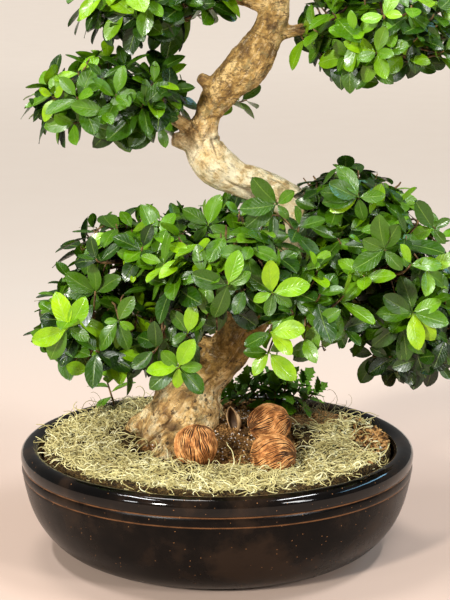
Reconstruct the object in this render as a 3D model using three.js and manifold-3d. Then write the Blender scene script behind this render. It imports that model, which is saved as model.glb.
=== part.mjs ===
// A fig bonsai in a round glazed bowl, in millimetres, +Z up.
// The origin is on the bowl's axis, on the surface that the bowl stands on.
import * as THREE from "three";
import { mergeVertices } from "three/addons/utils/BufferGeometryUtils.js";
import Module from "manifold-3d";

const wasm = await Module();
wasm.setup();

// Driving dimensions
const gap = 0.3; // between pieces that touch
const bowl = { radius: 200, height: 110, foot: 138, floor: 14, sides: 32 };
const earth = { edge: 98, mound: 28, spread: 55, top: [-5, 25], rings: [0, 44, 84, 130], lump: 0.8 };
const mossBed = { depth: 6.5, relief: 2.2, edge: 20, margin: 1.5, bareFrom: 30, bareTo: 112 };
const wood = { sides: 13, limbSides: 5, limbSteps: 2 };
const limb = { radius: 8, tip: 3.6, rise: 10, bend: 0.5 };
const roots = { swell: 0.24, top: 165, bottom: 105, count: 5, turn: 0.6, oval: 0.4 };
const flutes = [
  { depth: 0.06, count: 3, twist: 9 },
  { depth: 0.04, count: 5, twist: -14 },
];
const twig = { radius: 2.8, tip: 1.6, sides: 3, steps: 2, neck: 6, droop: 6 };
const figLeaf = { length: 44, halfWidth: 10.5, thickness: 0.8, hub: 3.2, count: 5, open: 0.35 };
const herbLeaf = { length: 19, halfWidth: 6, thickness: 0.8, hub: 2.4, count: 4, open: 0.5 };
const youngLeaf = { length: 30, halfWidth: 8.5, thickness: 0.8, hub: 2.8, count: 4, open: 0.45 };

// A leaf's half outline, in parts of its length and of its half width, and how leaves differ.
const blade = { widest: 0.42, shoulder: 0.77, narrow: 0.74, arch: 0.35, fold: 0.2 };
const differ = { size: 0.3, pitch: 0.42 };

// How a spray's two rosettes sit on its pad: how far out, their part of the spray's sector,
// their height on the pad, and how far a draw may move them.
const rule = { fill: 0.76, sway: 0.2, tilt: 0.28, upward: 0.75, lean: 0.2 };
const tips = [
  { sector: 0.28, high: 0.62 },
  { sector: 0.78, high: -0.18 },
];
const forks = { first: 0.5, last: 0.96 }; // parts of the limb's length
const stray = { step: 0.005, most: 0.5, tries: 400 }; // from one attempt to the next

// The trunk's centre line, from the root base up, with its radius at each point.
const trunkLine = [
  [-44, 12, 94, 50],
  [-42, 12, 112, 47],
  [-37, 13, 129, 41],
  [-30, 15, 146, 36],
  [-20, 17, 164, 27.5],
  [-6, 18, 180, 22.5],
  [12, 17, 202, 21.5],
  [30, 15, 228, 22],
  [52, 12, 260, 22],
  [74, 11, 290, 21],
  [88, 12, 320, 19.5],
  [79, 15, 347, 17.5],
  [58, 14, 363, 17],
  [38, 11, 371, 17],
  [20, 9, 378, 17.5],
  [0, 6, 390, 20],
  [-11, 4, 404, 20],
  [-15, 2, 421, 16.5],
  [-11, 2, 438, 12.8],
  [-3, 2, 454, 15.5],
  [12, 2, 472, 19],
  [30, 4, 490, 20],
  [48, 5, 518, 17],
  [57, 6, 545, 15],
  [58, 8, 578, 12.5],
  [51, 10, 618, 9],
  [46, 10, 656, 5.5],
];

// Each pad of foliage: its middle, its half sizes, the trunk point that its limb leaves,
// how many sprays it has and how far round they start, in degrees.
const pads = [
  { name: "lower_left", middle: [-124, -12, 228], half: [58, 76, 56], from: 6, sprays: 3, turn: -34 },
  { name: "mid_left", middle: [-82, 8, 304], half: [68, 76, 44], from: 8, sprays: 2, turn: 40 },
  { name: "front", middle: [8, -84, 300], half: [66, 46, 56], from: 9, sprays: 3, turn: 56 },
  { name: "front_right", middle: [84, -84, 262], half: [50, 44, 56], from: 8, sprays: 2, turn: 20 },
  { name: "right", middle: [158, -16, 296], half: [70, 90, 62], from: 10, sprays: 3, turn: 26 },
  { name: "lower_right", middle: [200, 0, 236], half: [58, 78, 48], from: 8, sprays: 2, turn: 40 },
  { name: "shoulder", middle: [134, 18, 362], half: [62, 66, 30], from: 11, sprays: 2, turn: 10 },
  { name: "back", middle: [48, 106, 292], half: [82, 52, 58], from: 9, sprays: 3, turn: -4 },
  { name: "back_left", middle: [-48, 92, 256], half: [60, 52, 52], from: 7, sprays: 2, turn: 0 },
  { name: "high_left", middle: [-104, 0, 462], half: [78, 72, 36], from: 17, sprays: 3, turn: -34 },
  { name: "top_left", middle: [-60, 14, 562], half: [80, 78, 46], from: 23, sprays: 3, turn: -34 },
  { name: "high_right", middle: [164, 0, 526], half: [84, 84, 52], from: 22, sprays: 3, turn: 26 },
  { name: "crown", middle: [44, 10, 682], half: [96, 92, 60], from: 25, sprays: 4, turn: 20 },
];

// Round fibrous seeds that lie on the soil: place, radius, flatness and the turn of their poles.
const seeds = [
  { at: [-21, -68], radius: 21, flat: 1, turn: 0.4 },
  { at: [53, -5], radius: 21.5, flat: 0.9, turn: 1.4 },
  { at: [55, -80], radius: 23, flat: 0.86, turn: 1.8 },
];

const seedBall = { sink: 2, ribs: 9, groove: 0.07, rings: 7 };
const husk = { at: [19, 2], radius: 5.5, height: 26, sink: 4, narrow: 0.35, flat: 0.8, lean: -0.2 };

// Small plants: the foot of each, how far its stems are sunk in, and each stem's way to its rosette.
const herb = { at: [62, 134], leans: [[-17, 4, 34], [15, -8, 38]], sink: 9, droop: -2 };
const shoot = { at: [-104, 116], leans: [[-18, -2, 60]], sink: 10, droop: -3 };
const sprig = { foot: [-4, 6, 452], leans: [[34, 36, 0]], sink: 0, droop: -3 };

// Seeds of the draws.
const draws = { herb: 70, shoot: 90, sprig: 110, first: 3, pad: 11, spray: 2.3 };

const colours = {
  glaze: 0x1c1614,
  earth: 0x5c3a20,
  moss: 0xb9bf88,
  bark: 0xb99468,
  leaf: 0x2f6e22,
  herb: 0x24521c,
  seed: 0xa8693c,
  husk: 0x7d5630,
};

// The same number between 0 and 1 each time for the same seed.
function draw(seed) {
  const wave = Math.sin(seed * 12.9898 + 4.1) * 43758.5453;
  return wave - Math.floor(wave);
}

function spread(seed, size) {
  return (2 * draw(seed) - 1) * size;
}

function point([x, y, z]) {
  return new THREE.Vector3(x, y, z);
}

// A mesh becomes a solid that can be joined and cut.
function solid(geometry) {
  const bare = geometry.clone();
  bare.deleteAttribute("normal");
  bare.deleteAttribute("uv");
  const merged = mergeVertices(bare, 1e-4);
  const mesh = new wasm.Mesh({
    numProp: 3,
    vertProperties: merged.attributes.position.array,
    triVerts: new Uint32Array(merged.index.array),
  });
  return new wasm.Manifold(mesh);
}

function join(solids) {
  return solids.reduce((all, piece) => all.add(piece));
}

// The largest body of a solid, without the scraps that a cut can leave.
function largest(made) {
  return made.decompose().reduce((most, body) => (body.volume() > most.volume() ? body : most));
}

function meets(one, other) {
  const a = one.boundingBox();
  const b = other.boundingBox();
  const apart = [0, 1, 2].some((axis) => a.min[axis] > b.max[axis] || b.min[axis] > a.max[axis]);
  return !apart && one.intersect(other).volume() > 0;
}

const tree = new THREE.Group();
tree.name = "bonsai";
const taken = []; // the solids that a new spray keeps clear of

function place(name, made, color, roughness) {
  const parts = made.getMesh();
  const geometry = new THREE.BufferGeometry();
  geometry.setAttribute("position", new THREE.BufferAttribute(parts.vertProperties, 3));
  geometry.setIndex(new THREE.BufferAttribute(parts.triVerts, 1));
  geometry.computeVertexNormals();
  const material = new THREE.MeshStandardMaterial({ color, roughness, metalness: 0 });
  const mesh = new THREE.Mesh(geometry, material);
  mesh.name = name;
  tree.add(mesh);
}

// Moves every vertex of a geometry to where move(vertex) puts it.
function reshape(geometry, move) {
  const places = geometry.attributes.position;
  for (let i = 0; i < places.count; i += 1) {
    const moved = move(new THREE.Vector3().fromBufferAttribute(places, i));
    places.setXYZ(i, moved.x, moved.y, moved.z);
  }
  return geometry;
}

// A cylinder bent along a line. radiusAt gives its radius at a part of its length and an angle.
function bentRod(line, radiusAt, sides, steps, grow) {
  const curve = new THREE.CatmullRomCurve3(line);
  const stations = [];
  let across = new THREE.Vector3(0.3, 1, 0.1); // any way that no rod runs in
  for (let step = 0; step <= steps; step += 1) {
    const along = curve.getTangent(step / steps);
    across = across.clone().addScaledVector(along, -across.dot(along)).normalize();
    const middle = curve.getPoint(step / steps);
    if (step === 0) middle.addScaledVector(along, -grow);
    if (step === steps) middle.addScaledVector(along, grow);
    stations.push({ middle, across, aside: across.clone().cross(along) });
  }
  const straight = new THREE.CylinderGeometry(1, 1, 1, sides, steps);
  const bent = reshape(straight, (v) => {
    const step = Math.round((v.y + 0.5) * steps);
    const station = stations[step];
    const angle = Math.atan2(v.z, v.x);
    const reach = Math.hypot(v.x, v.z) * (radiusAt(step / steps, angle) + grow);
    return station.middle
      .clone()
      .addScaledVector(station.across, reach * Math.cos(angle))
      .addScaledVector(station.aside, reach * Math.sin(angle));
  });
  return solid(bent);
}

function taper(from, to) {
  return (part) => from + (to - from) * part;
}

// The height of the soil at a place.
function ground(x, y) {
  const far = (x - earth.top[0]) ** 2 + (y - earth.top[1]) ** 2;
  return earth.edge + earth.mound * Math.exp(-far / (2 * earth.spread ** 2));
}

// The bowl's inside from its lip down to its floor, moved inwards by a clearance.
function bowlInside(clearance) {
  const wall = [
    [178, 97],
    [176, 50],
    [150, 20],
    [110, bowl.floor],
  ];
  return wall.map(([r, z]) => new THREE.Vector2(r - clearance, z + clearance));
}

function turned(profile, sides) {
  return new THREE.LatheGeometry(profile, sides).rotateX(Math.PI / 2);
}

function bowlSolid() {
  const side = new THREE.SplineCurve([
    new THREE.Vector2(bowl.foot, 0),
    new THREE.Vector2(158, 8),
    new THREE.Vector2(171, 17.5),
    new THREE.Vector2(184.5, 35),
    new THREE.Vector2(192.5, 53),
    new THREE.Vector2(197.4, 76),
  ]).getPoints(6);
  const lip = [
    [198.4, 81.5],
    [199.4, 86.5],
    [198.6, 91.5],
    [bowl.radius, 96],
    [bowl.radius, 103],
    [196, 108],
    [190, bowl.height],
    [183.5, 108.4],
    [179.5, 104],
  ].map(([r, z]) => new THREE.Vector2(r, z));
  const axis = [new THREE.Vector2(0, 0), new THREE.Vector2(0, bowl.floor)];
  return solid(turned([axis[0], ...side, ...lip, ...bowlInside(0), axis[1]], bowl.sides));
}

// A point of the soil's top, with its small lumps.
function onSoil(v, lift) {
  const lump = spread(Math.round(v.x) * 3.1 + Math.round(v.y) * 7.7, earth.lump);
  v.z = ground(v.x, v.y) + lump + lift;
  return v;
}

// The soil fills the bowl, and each ring of its top follows the mound.
function soilSolid(lift) {
  const [rim, ...wall] = bowlInside(gap);
  const top = [...earth.rings, rim.x].map((r) => new THREE.Vector2(r, earth.edge));
  const profile = [...top, ...wall, new THREE.Vector2(0, bowl.floor + gap)].reverse();
  const block = turned(profile, bowl.sides);
  return solid(reshape(block, (v) => (v.z < earth.edge ? v : onSoil(v, lift))));
}

// A knobbly layer on the soil's outer rings, open where the soil is bare at the back.
function mossSolid() {
  const rim = bowlInside(mossBed.margin)[0].x;
  const [inner, middle] = earth.rings.slice(-2);
  const under = [inner, middle, rim].map((r) => new THREE.Vector2(r, 0));
  const top = [rim, rim - mossBed.edge, middle, inner].map((r) => new THREE.Vector2(r, 1));
  const layer = reshape(turned([...under, ...top, under[0]], bowl.sides), (v) => {
    const onTop = v.z > 0.5;
    const knob = spread(Math.round(v.x) * 5.3 + Math.round(v.y) * 2.9, mossBed.relief);
    return onSoil(v, onTop ? mossBed.depth + knob : -mossBed.depth);
  });
  const from = THREE.MathUtils.degToRad(mossBed.bareFrom);
  const to = THREE.MathUtils.degToRad(mossBed.bareTo);
  const far = bowl.radius * 1.5;
  const wedge = new THREE.Shape([new THREE.Vector2(0, 0)]);
  wedge.lineTo(far * Math.cos(from), far * Math.sin(from));
  wedge.absarc(0, 0, far, from, to, false);
  const bare = new THREE.ExtrudeGeometry(wedge, { depth: far, bevelEnabled: false, curveSegments: 4 });
  return solid(layer).subtract(solid(bare)).subtract(soilSolid(gap));
}

// A value of the trunk's line at a part of its length.
function trunkValue(item, part) {
  const spot = Math.min(part, 1 - 1e-6) * (trunkLine.length - 1);
  const lower = Math.floor(spot);
  return THREE.MathUtils.lerp(trunkLine[lower][item], trunkLine[lower + 1][item], spot - lower);
}

// Roots swell from the trunk's foot, and shallow flutes run up the bark.
function trunkRadius(part, angle) {
  const under = roots.top - trunkValue(2, part);
  const rooted = roots.swell * THREE.MathUtils.smoothstep(under, 0, roots.top - roots.bottom);
  const lobes = Math.cos(roots.count * angle + roots.turn) + roots.oval * Math.cos(2 * angle);
  const fluted = flutes.map(({ depth, count, twist }) => depth * Math.cos(count * angle + twist * part));
  return trunkValue(3, part) * fluted.reduce((all, flute) => all + flute, 1 + rooted * lobes);
}

function trunkSolid(grow) {
  return bentRod(trunkLine.map(point), trunkRadius, wood.sides, trunkLine.length - 1, grow);
}

function limbLine(pad) {
  const start = point(trunkLine[pad.from]);
  const end = point(pad.middle);
  end.z -= limb.rise;
  const middle = start.clone().lerp(end, limb.bend);
  middle.z += limb.rise;
  return [start, middle, end];
}

function limbSolid(pad, grow) {
  const radiusAt = taper(limb.radius, limb.tip);
  return bentRod(limbLine(pad), radiusAt, wood.limbSides, wood.limbSteps, grow);
}

function woodSolid(grow) {
  const limbs = pads.map((pad) => limbSolid(pad, grow));
  return join([trunkSolid(grow), ...limbs]);
}

// A rosette of leaves: one thin star, cut to its hub between the leaves, whose leaves are
// raised and arched one by one.
function rosette(kind, hub, facing, seed, grow) {
  const turn = (2 * Math.PI) / kind.count;
  const corners = [];
  for (let i = 0; i < kind.count; i += 1) {
    const size = 1 - differ.size * draw(seed + i * 1.7);
    const length = kind.length * size + grow;
    const side = kind.halfWidth * size + grow;
    const leaf = [
      [kind.hub * Math.cos(turn / 2), -kind.hub * Math.sin(turn / 2)],
      [length * blade.widest, -side],
      [length * blade.shoulder, -side * blade.narrow],
      [length, 0],
      [length * blade.shoulder, side * blade.narrow],
      [length * blade.widest, side],
    ];
    leaf.forEach((corner) => {
      corners.push(new THREE.Vector2(...corner).rotateAround(new THREE.Vector2(0, 0), i * turn));
    });
  }
  const depth = kind.thickness + 2 * grow;
  const flat = new THREE.ExtrudeGeometry(new THREE.Shape(corners), { depth, bevelEnabled: false });
  const upright = new THREE.Vector3(0, 0, 1);
  const frame = new THREE.Quaternion().setFromUnitVectors(upright, facing);
  const spin = draw(seed + 0.37) * turn;
  const shaped = reshape(flat, (v) => {
    const level = v.z - depth / 2;
    v.z = level;
    if (Math.hypot(v.x, v.y) > kind.hub + grow + 0.5) {
      const number = Math.round(Math.atan2(v.y, v.x) / turn + kind.count) % kind.count;
      v.applyAxisAngle(upright, -number * turn);
      const pitch = kind.open + spread(seed + number * 3.3 + 0.9, differ.pitch);
      const arch = pitch - blade.arch * (v.x / kind.length);
      const lift = Math.sin(arch) * v.x + Math.abs(v.y) * blade.fold + level * Math.cos(arch);
      v.set(Math.cos(arch) * v.x - level * Math.sin(arch), v.y, lift);
      v.applyAxisAngle(upright, number * turn);
    }
    return v.applyAxisAngle(upright, spin).applyQuaternion(frame).add(hub);
  });
  return solid(shaped);
}

// A twig that runs from a start to a rosette's hub, and the rosette.
function leafyTwig(kind, start, hub, facing, seed, grow, droop) {
  const bow = start.clone().lerp(hub, 0.5).addScaledVector(facing, -droop);
  const neck = hub.clone().addScaledVector(facing, -twig.neck);
  const line = [start, bow, neck, hub];
  const rod = bentRod(line, taper(twig.radius, twig.tip), twig.sides, twig.steps, grow);
  const bend = new THREE.CatmullRomCurve3(line).getPoint(0.98 / twig.steps); // just below its bend
  return { rod, bend, star: rosette(kind, hub, facing, seed, grow) };
}

// The direction of a rosette from its pad's middle.
function tipDirection(pad, spray, tip, seed) {
  const sector = (2 * Math.PI) / pad.sprays;
  const turn = sector * (spray + tips[tip].sector) + THREE.MathUtils.degToRad(pad.turn);
  const angle = turn + spread(seed + spray, rule.sway);
  const high = tips[tip].high + spread(seed + spray * 2 + tip, rule.tilt);
  const level = Math.sqrt(1 - high * high);
  return new THREE.Vector3(level * Math.cos(angle), level * Math.sin(angle), high);
}

// One of a spray's two twigs. Each new attempt strays further from its place.
function sprayTwig(pad, spray, tip, fork, seed, attempt, grow) {
  const change = attempt * 17.3 + tip * 5.1 + seed;
  const loose = Math.min(attempt * stray.step, stray.most);
  const wander = new THREE.Vector3(spread(change, 1), spread(change + 1, 1), spread(change + 2, 1));
  const direction = tipDirection(pad, spray, tip, seed).addScaledVector(wander, 2 * loose);
  direction.normalize();
  const fill = rule.fill * (1 + spread(change + 3, loose));
  const hub = direction.clone().multiply(point(pad.half)).multiplyScalar(fill).add(point(pad.middle));
  const facing = direction.addScaledVector(wander, rule.lean + loose);
  facing.z += rule.upward;
  return leafyTwig(figLeaf, fork, hub, facing.normalize(), change, grow, twig.droop);
}

// The first attempt that is clear of everything else, cut to its seat on the wood.
function firstClear(draft, others, carrier) {
  for (let attempt = 0; attempt < stray.tries; attempt += 1) {
    const room = draft(attempt, gap);
    const stem = room.rod.subtract(woodRoom);
    const free = [stem, room.star].every((piece) => others.every((other) => !meets(piece, other)));
    if (!free || stem.decompose().length !== 1) continue;
    const made = draft(attempt, 0);
    const rod = largest(made.rod.subtract(woodRoom));
    if (!carrier || meets(rod, carrier)) return { ...made, rod };
  }
  throw new Error("A rosette finds no free place.");
}

// A side branch: its first twig leaves the limb, and its second leaves the first one's bend.
function addSpray(pad, spray, seed) {
  const spot = THREE.MathUtils.lerp(forks.first, forks.last, (spray + 1) / pad.sprays);
  let fork = new THREE.CatmullRomCurve3(limbLine(pad)).getPoint(spot);
  const rods = [];
  const stars = [];
  for (let tip = 0; tip < tips.length; tip += 1) {
    const draft = (attempt, grow) => sprayTwig(pad, spray, tip, fork, seed, attempt, grow);
    const found = firstClear(draft, [...taken, ...stars], rods[0]);
    fork = found.bend;
    rods.push(found.rod);
    stars.push(found.star);
  }
  taken.push(...rods, ...stars);
  place(`spray_${pad.name}_${spray + 1}`, join([...rods, ...stars]), colours.leaf, 0.35);
}

// A seed ball with ribs that run from pole to pole.
function seedSolid(seed, grow) {
  const [x, y] = seed.at;
  const radius = seed.radius + grow;
  const ball = reshape(new THREE.SphereGeometry(1, 2 * seedBall.ribs, seedBall.rings), (v) => {
    const belt = Math.sqrt(Math.max(0, 1 - v.y * v.y));
    const ribbed = (1 - Math.cos(seedBall.ribs * Math.atan2(v.z, v.x))) / 2;
    const across = radius * (1 - seedBall.groove * belt * ribbed);
    return v.multiply(new THREE.Vector3(across, radius * seed.flat, across));
  });
  ball.rotateX(Math.PI / 2).rotateY(seed.turn);
  ball.translate(x, y, ground(x, y) + seed.radius * seed.flat - seedBall.sink);
  return solid(ball);
}

function huskSolid(grow) {
  const [x, y] = husk.at;
  const pod = reshape(new THREE.SphereGeometry(1, 8, 6), (v) => {
    const across = (husk.radius + grow) * (1 - husk.narrow * Math.max(0, v.y));
    return v.set(v.x * across, v.y * (husk.height / 2 + grow), v.z * across * husk.flat);
  });
  pod.rotateX(Math.PI / 2).rotateY(husk.lean);
  pod.translate(x, y, ground(x, y) + husk.height / 2 - husk.sink);
  return solid(pod);
}

// A small plant: a leafy twig for each lean, from one foot.
function plantSolid(kind, plant, seed, grow) {
  const foot = plant.foot ? point(plant.foot) : new THREE.Vector3(...plant.at, ground(...plant.at));
  foot.z -= plant.sink;
  const twigs = plant.leans.map((lean, number) => {
    const hub = foot.clone().add(point(lean));
    return leafyTwig(kind, foot, hub, point(lean).normalize(), seed + number * 5, grow, plant.droop);
  });
  return join(twigs.flatMap(({ rod, star }) => [rod, star]));
}

const woodwork = woodSolid(0);
const woodRoom = woodSolid(gap);
const litterRoom = join([...seeds.map((seed) => seedSolid(seed, gap)), huskSolid(gap)]);
const plantRoom = plantSolid(herbLeaf, herb, draws.herb, gap).add(
  plantSolid(youngLeaf, shoot, draws.shoot, gap),
);
const room = join([woodRoom, litterRoom, plantRoom]);
const soil = largest(soilSolid(0).subtract(room));
const moss = largest(mossSolid().subtract(room));
const sprigMade = plantSolid(youngLeaf, sprig, draws.sprig, 0).subtract(woodRoom);

place("bowl", bowlSolid(), colours.glaze, 0.15);
place("soil", soil, colours.earth, 1);
place("moss", moss, colours.moss, 1);
place("trunk", woodwork, colours.bark, 0.8);
seeds.forEach((seed, number) => {
  place(`seed_${number + 1}`, seedSolid(seed, 0), colours.seed, 0.8);
});
place("husk", huskSolid(0), colours.husk, 0.8);
place("ground_plant", plantSolid(herbLeaf, herb, draws.herb, 0), colours.herb, 0.4);
place("shoot", plantSolid(youngLeaf, shoot, draws.shoot, 0), colours.leaf, 0.4);
place("sprig", sprigMade, colours.leaf, 0.4);
taken.push(woodwork, soil, moss, litterRoom, plantRoom, sprigMade);
pads.forEach((pad, number) => {
  for (let spray = 0; spray < pad.sprays; spray += 1) {
    addSpray(pad, spray, draws.first + number * draws.pad + spray * draws.spray);
  }
});

export default tree;
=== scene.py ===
import math
import random

import bpy
import numpy as np
from mathutils import Matrix, Vector, kdtree, noise
from mathutils.bvhtree import BVHTree


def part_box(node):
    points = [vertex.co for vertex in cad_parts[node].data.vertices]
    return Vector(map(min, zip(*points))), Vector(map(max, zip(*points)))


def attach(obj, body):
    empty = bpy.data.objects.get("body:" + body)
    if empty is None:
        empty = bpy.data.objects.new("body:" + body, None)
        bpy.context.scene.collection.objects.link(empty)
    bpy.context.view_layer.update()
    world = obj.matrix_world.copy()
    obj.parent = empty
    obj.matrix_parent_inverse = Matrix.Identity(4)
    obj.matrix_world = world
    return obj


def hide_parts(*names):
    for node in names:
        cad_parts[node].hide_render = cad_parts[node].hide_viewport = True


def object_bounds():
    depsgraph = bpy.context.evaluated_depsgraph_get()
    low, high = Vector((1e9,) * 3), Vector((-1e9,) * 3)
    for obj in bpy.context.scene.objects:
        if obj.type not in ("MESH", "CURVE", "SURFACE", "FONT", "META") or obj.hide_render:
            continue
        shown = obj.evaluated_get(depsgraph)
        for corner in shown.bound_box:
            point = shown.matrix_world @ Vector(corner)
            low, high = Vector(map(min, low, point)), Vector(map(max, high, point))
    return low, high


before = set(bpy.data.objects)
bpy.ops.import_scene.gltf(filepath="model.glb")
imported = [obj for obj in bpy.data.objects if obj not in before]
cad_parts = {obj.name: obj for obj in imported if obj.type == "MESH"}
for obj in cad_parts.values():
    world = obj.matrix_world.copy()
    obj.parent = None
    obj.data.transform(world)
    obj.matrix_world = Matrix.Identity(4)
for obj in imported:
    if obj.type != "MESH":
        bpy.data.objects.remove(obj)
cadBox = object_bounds()

# Bonsai tree in a pot. Sizes in the dictionaries are millimetres, as the tree was measured;
# everything in the scene is metres. +Z is up and the bowl stands on z = 0.
mm = 0.001
golden = math.pi * (3 - math.sqrt(5))
up = Vector((0, 0, 1))
scene = bpy.context.scene


# ---- small helpers ----

def clearSelection():
    bpy.ops.object.select_all(action="DESELECT")


def take(*pieces):  # the only selected objects, the first one active
    clearSelection()
    for piece in pieces:
        piece.select_set(True)
    bpy.context.view_layer.objects.active = pieces[0]
    return pieces[0]


def nameActive(name):
    piece = bpy.context.object
    piece.name = name
    piece.data.name = name
    return piece


def settle(piece):  # the object's place goes into its mesh
    take(piece)
    bpy.ops.object.transform_apply(location=True, rotation=True, scale=True)
    return piece


def applyModifier(piece, kind, **settings):
    take(piece)
    modifier = piece.modifiers.new(kind.lower(), kind)
    for key, value in settings.items():
        setattr(modifier, key, value)
    bpy.ops.object.modifier_apply(modifier=modifier.name)


def smooth(piece, angle):
    take(piece)
    bpy.ops.object.shade_smooth_by_angle(angle=math.radians(angle))


def weld(piece, reach):  # joins the points that are nearer to each other than reach
    take(piece)
    bpy.ops.object.mode_set(mode="EDIT")
    bpy.ops.mesh.select_all(action="SELECT")
    bpy.ops.mesh.remove_doubles(threshold=reach)
    bpy.ops.object.mode_set(mode="OBJECT")


def joined(pieces, name):
    take(*pieces)
    bpy.ops.object.join()
    return nameActive(name)


def dress(piece, *finishes):
    piece.data.materials.clear()
    for finish in finishes:
        piece.data.materials.append(finish)


def place(piece, slot, *nodes):  # on the one body, in place of the nodes it stands for; the slot is not used
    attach(piece, "root")
    if nodes:
        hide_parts(*nodes)
    return piece


def newPiece(name, data):
    piece = bpy.data.objects.new(name, data)
    scene.collection.objects.link(piece)
    return piece


def clamp(value, low=0, high=1):
    return min(max(value, low), high)


def easeStep(value, low, high):
    share = clamp((value - low) / (high - low))
    return share * share * (3 - 2 * share)


def millimetres(*values):
    return Vector(values) * mm


def smoothLine(points, steps):  # Catmull-Rom through the points, with any number of values each
    line = []
    for index in range(len(points) - 1):
        a, b, c, d = (points[clamp(index + shift, 0, len(points) - 1)] for shift in (-1, 0, 1, 2))
        for step in range(steps):
            t = step / steps
            line.append(0.5 * (2 * b + (c - a) * t + (2 * a - 5 * b + 4 * c - d) * t * t
                               + (3 * b - a - 3 * c + d) * t * t * t))
    line.append(points[-1])
    return line


def addTube(curve, points, radii):
    spline = curve.splines.new("POLY")
    spline.points.add(len(points) - 1)
    for target, point, radius in zip(spline.points, points, radii):
        target.co = (*point, 1)
        target.radius = radius


def taper(count, first, last):  # radii in metres that go evenly from one to the other
    return [(first + (last - first) * k / (count - 1)) * mm for k in range(count)]


def tubeCurve(name, resolution):  # a curve whose point radii are real radii in metres
    curve = bpy.data.curves.new(name, "CURVE")
    curve.dimensions = "3D"
    curve.bevel_depth = 1
    curve.bevel_resolution = resolution
    curve.use_fill_caps = True
    return curve


def curveToMesh(curve, name):
    take(newPiece(name, curve))
    bpy.ops.object.convert(target="MESH")
    return nameActive(name)


def column(rows, key, width=1, kind=int):  # the same value of every row, as an array
    read = np.empty(len(rows) * width, kind)
    rows.foreach_get(key, read)
    return read


def readAway(piece):  # what a form's copies need of it, and the form leaves the scene
    mesh = piece.data
    form = {
        "spots": column(mesh.vertices, "co", 3, float).reshape(-1, 3),
        "corners": column(mesh.loops, "vertex_index"),
        "sizes": column(mesh.polygons, "loop_total"),
        "slots": column(mesh.polygons, "material_index"),
        "flat": np.zeros(len(mesh.loops) * 2),
    }
    if mesh.uv_layers:
        mesh.uv_layers[0].uv.foreach_get("vector", form["flat"])
    bpy.data.objects.remove(piece)
    return form


def copied(name, forms, copies, finishes, angle=60):  # one mesh of (form, matrix, values) copies
    used = [forms[kind] for kind, _, _ in copies]
    turns = [np.array(matrix) for _, matrix, _ in copies]
    counts = [len(form["spots"]) for form in used]
    starts = np.cumsum(counts) - counts
    spots = [form["spots"] @ turn[:3, :3].T + turn[:3, 3] for form, turn in zip(used, turns)]
    corners = np.concatenate([form["corners"] + start for form, start in zip(used, starts)])
    sizes, slots, flat = [np.concatenate([form[key] for form in used])
                          for key in ("sizes", "slots", "flat")]
    mesh = bpy.data.meshes.new(name)
    piece = newPiece(name, mesh)
    mesh.vertices.add(sum(counts))
    mesh.vertices.foreach_set("co", np.concatenate(spots).ravel())
    mesh.loops.add(len(corners))
    mesh.loops.foreach_set("vertex_index", corners)
    mesh.polygons.add(len(sizes))
    mesh.polygons.foreach_set("loop_start", np.cumsum(sizes) - sizes)
    mesh.polygons.foreach_set("material_index", slots)
    mesh.uv_layers.new(name="UVMap").uv.foreach_set("vector", flat)
    for key in copies[0][2]:
        layer = mesh.attributes.new(key, "FLOAT", "POINT")
        layer.data.foreach_set("value", np.repeat([values[key] for _, _, values in copies], counts))
    mesh.update(calc_edges=True)
    mesh.validate()
    smooth(piece, angle)
    dress(piece, *finishes)
    return piece


def basis(along, facing, origin, size):  # Y runs along, Z faces facing
    y = along.normalized()
    x = y.cross(facing).normalized()
    z = x.cross(y)
    turned = Matrix((x, y, z)).transposed().to_4x4()
    return Matrix.Translation(origin) @ turned @ Matrix.Scale(size, 4)


def onSphere(angle, level, high):  # level is the distance from the axis
    return Vector((math.cos(angle) * level, math.sin(angle) * level, high))


def inEllipsoid(point, middle, half):  # a point in metres as a share of the half sizes
    return Vector([(point[k] / mm - middle[k]) / half[k] for k in range(3)])


def across(direction):  # any unit vector square to a direction
    side = direction.cross(up)
    return side.normalized() if side.length > 1e-3 else Vector((1, 0, 0))


# ---- shader helpers ----

def feed(tree, socket, value):  # a link where the value is another node's socket
    if isinstance(value, bpy.types.NodeSocket):
        tree.links.new(value, socket)
    else:
        socket.default_value = value


def node(tree, kind, inputs=None, **settings):
    made = tree.nodes.new("ShaderNode" + kind)
    for key, value in settings.items():
        setattr(made, key, value)
    for socket, value in (inputs or {}).items():
        feed(tree, made.inputs[socket], value)
    return made


def objectCoords(tree, stretch=None):
    coords = node(tree, "TexCoord").outputs["Object"]
    if not stretch:
        return coords
    return node(tree, "Mapping", {"Vector": coords, "Scale": stretch}).outputs["Vector"]


def partOf(tree, coords, axis):
    return node(tree, "SeparateXYZ", {"Vector": coords}).outputs[axis]


def attribute(tree, name, output="Fac"):
    return node(tree, "Attribute", attribute_name=name).outputs[output]


def noiseValue(tree, coords, scale, detail=4, roughness=0.55, distortion=0):
    made = node(tree, "TexNoise", {"Vector": coords, "Scale": scale, "Detail": detail,
                                   "Roughness": roughness, "Distortion": distortion})
    return made.outputs["Fac"]


def specks(tree, coords, scale):  # the distance to the nearest speck, and its own random colour
    made = node(tree, "TexVoronoi", {"Vector": coords, "Scale": scale}, feature="F1")
    picks = node(tree, "SeparateColor", {"Color": made.outputs["Color"]})
    return made.outputs["Distance"], picks.outputs


def limits(tree, value, low, high, first=0, last=1):
    return node(tree, "MapRange", {"Value": value, "From Min": low, "From Max": high,
                                   "To Min": first, "To Max": last}).outputs["Result"]


def maths(tree, operation, first, second=0.5):
    return node(tree, "Math", {0: first, 1: second}, operation=operation).outputs[0]


def times(tree, first, second):
    return maths(tree, "MULTIPLY", first, second)


def plus(tree, first, second):
    return maths(tree, "ADD", first, second)


def minus(tree, first, second):
    return maths(tree, "SUBTRACT", first, second)


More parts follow.
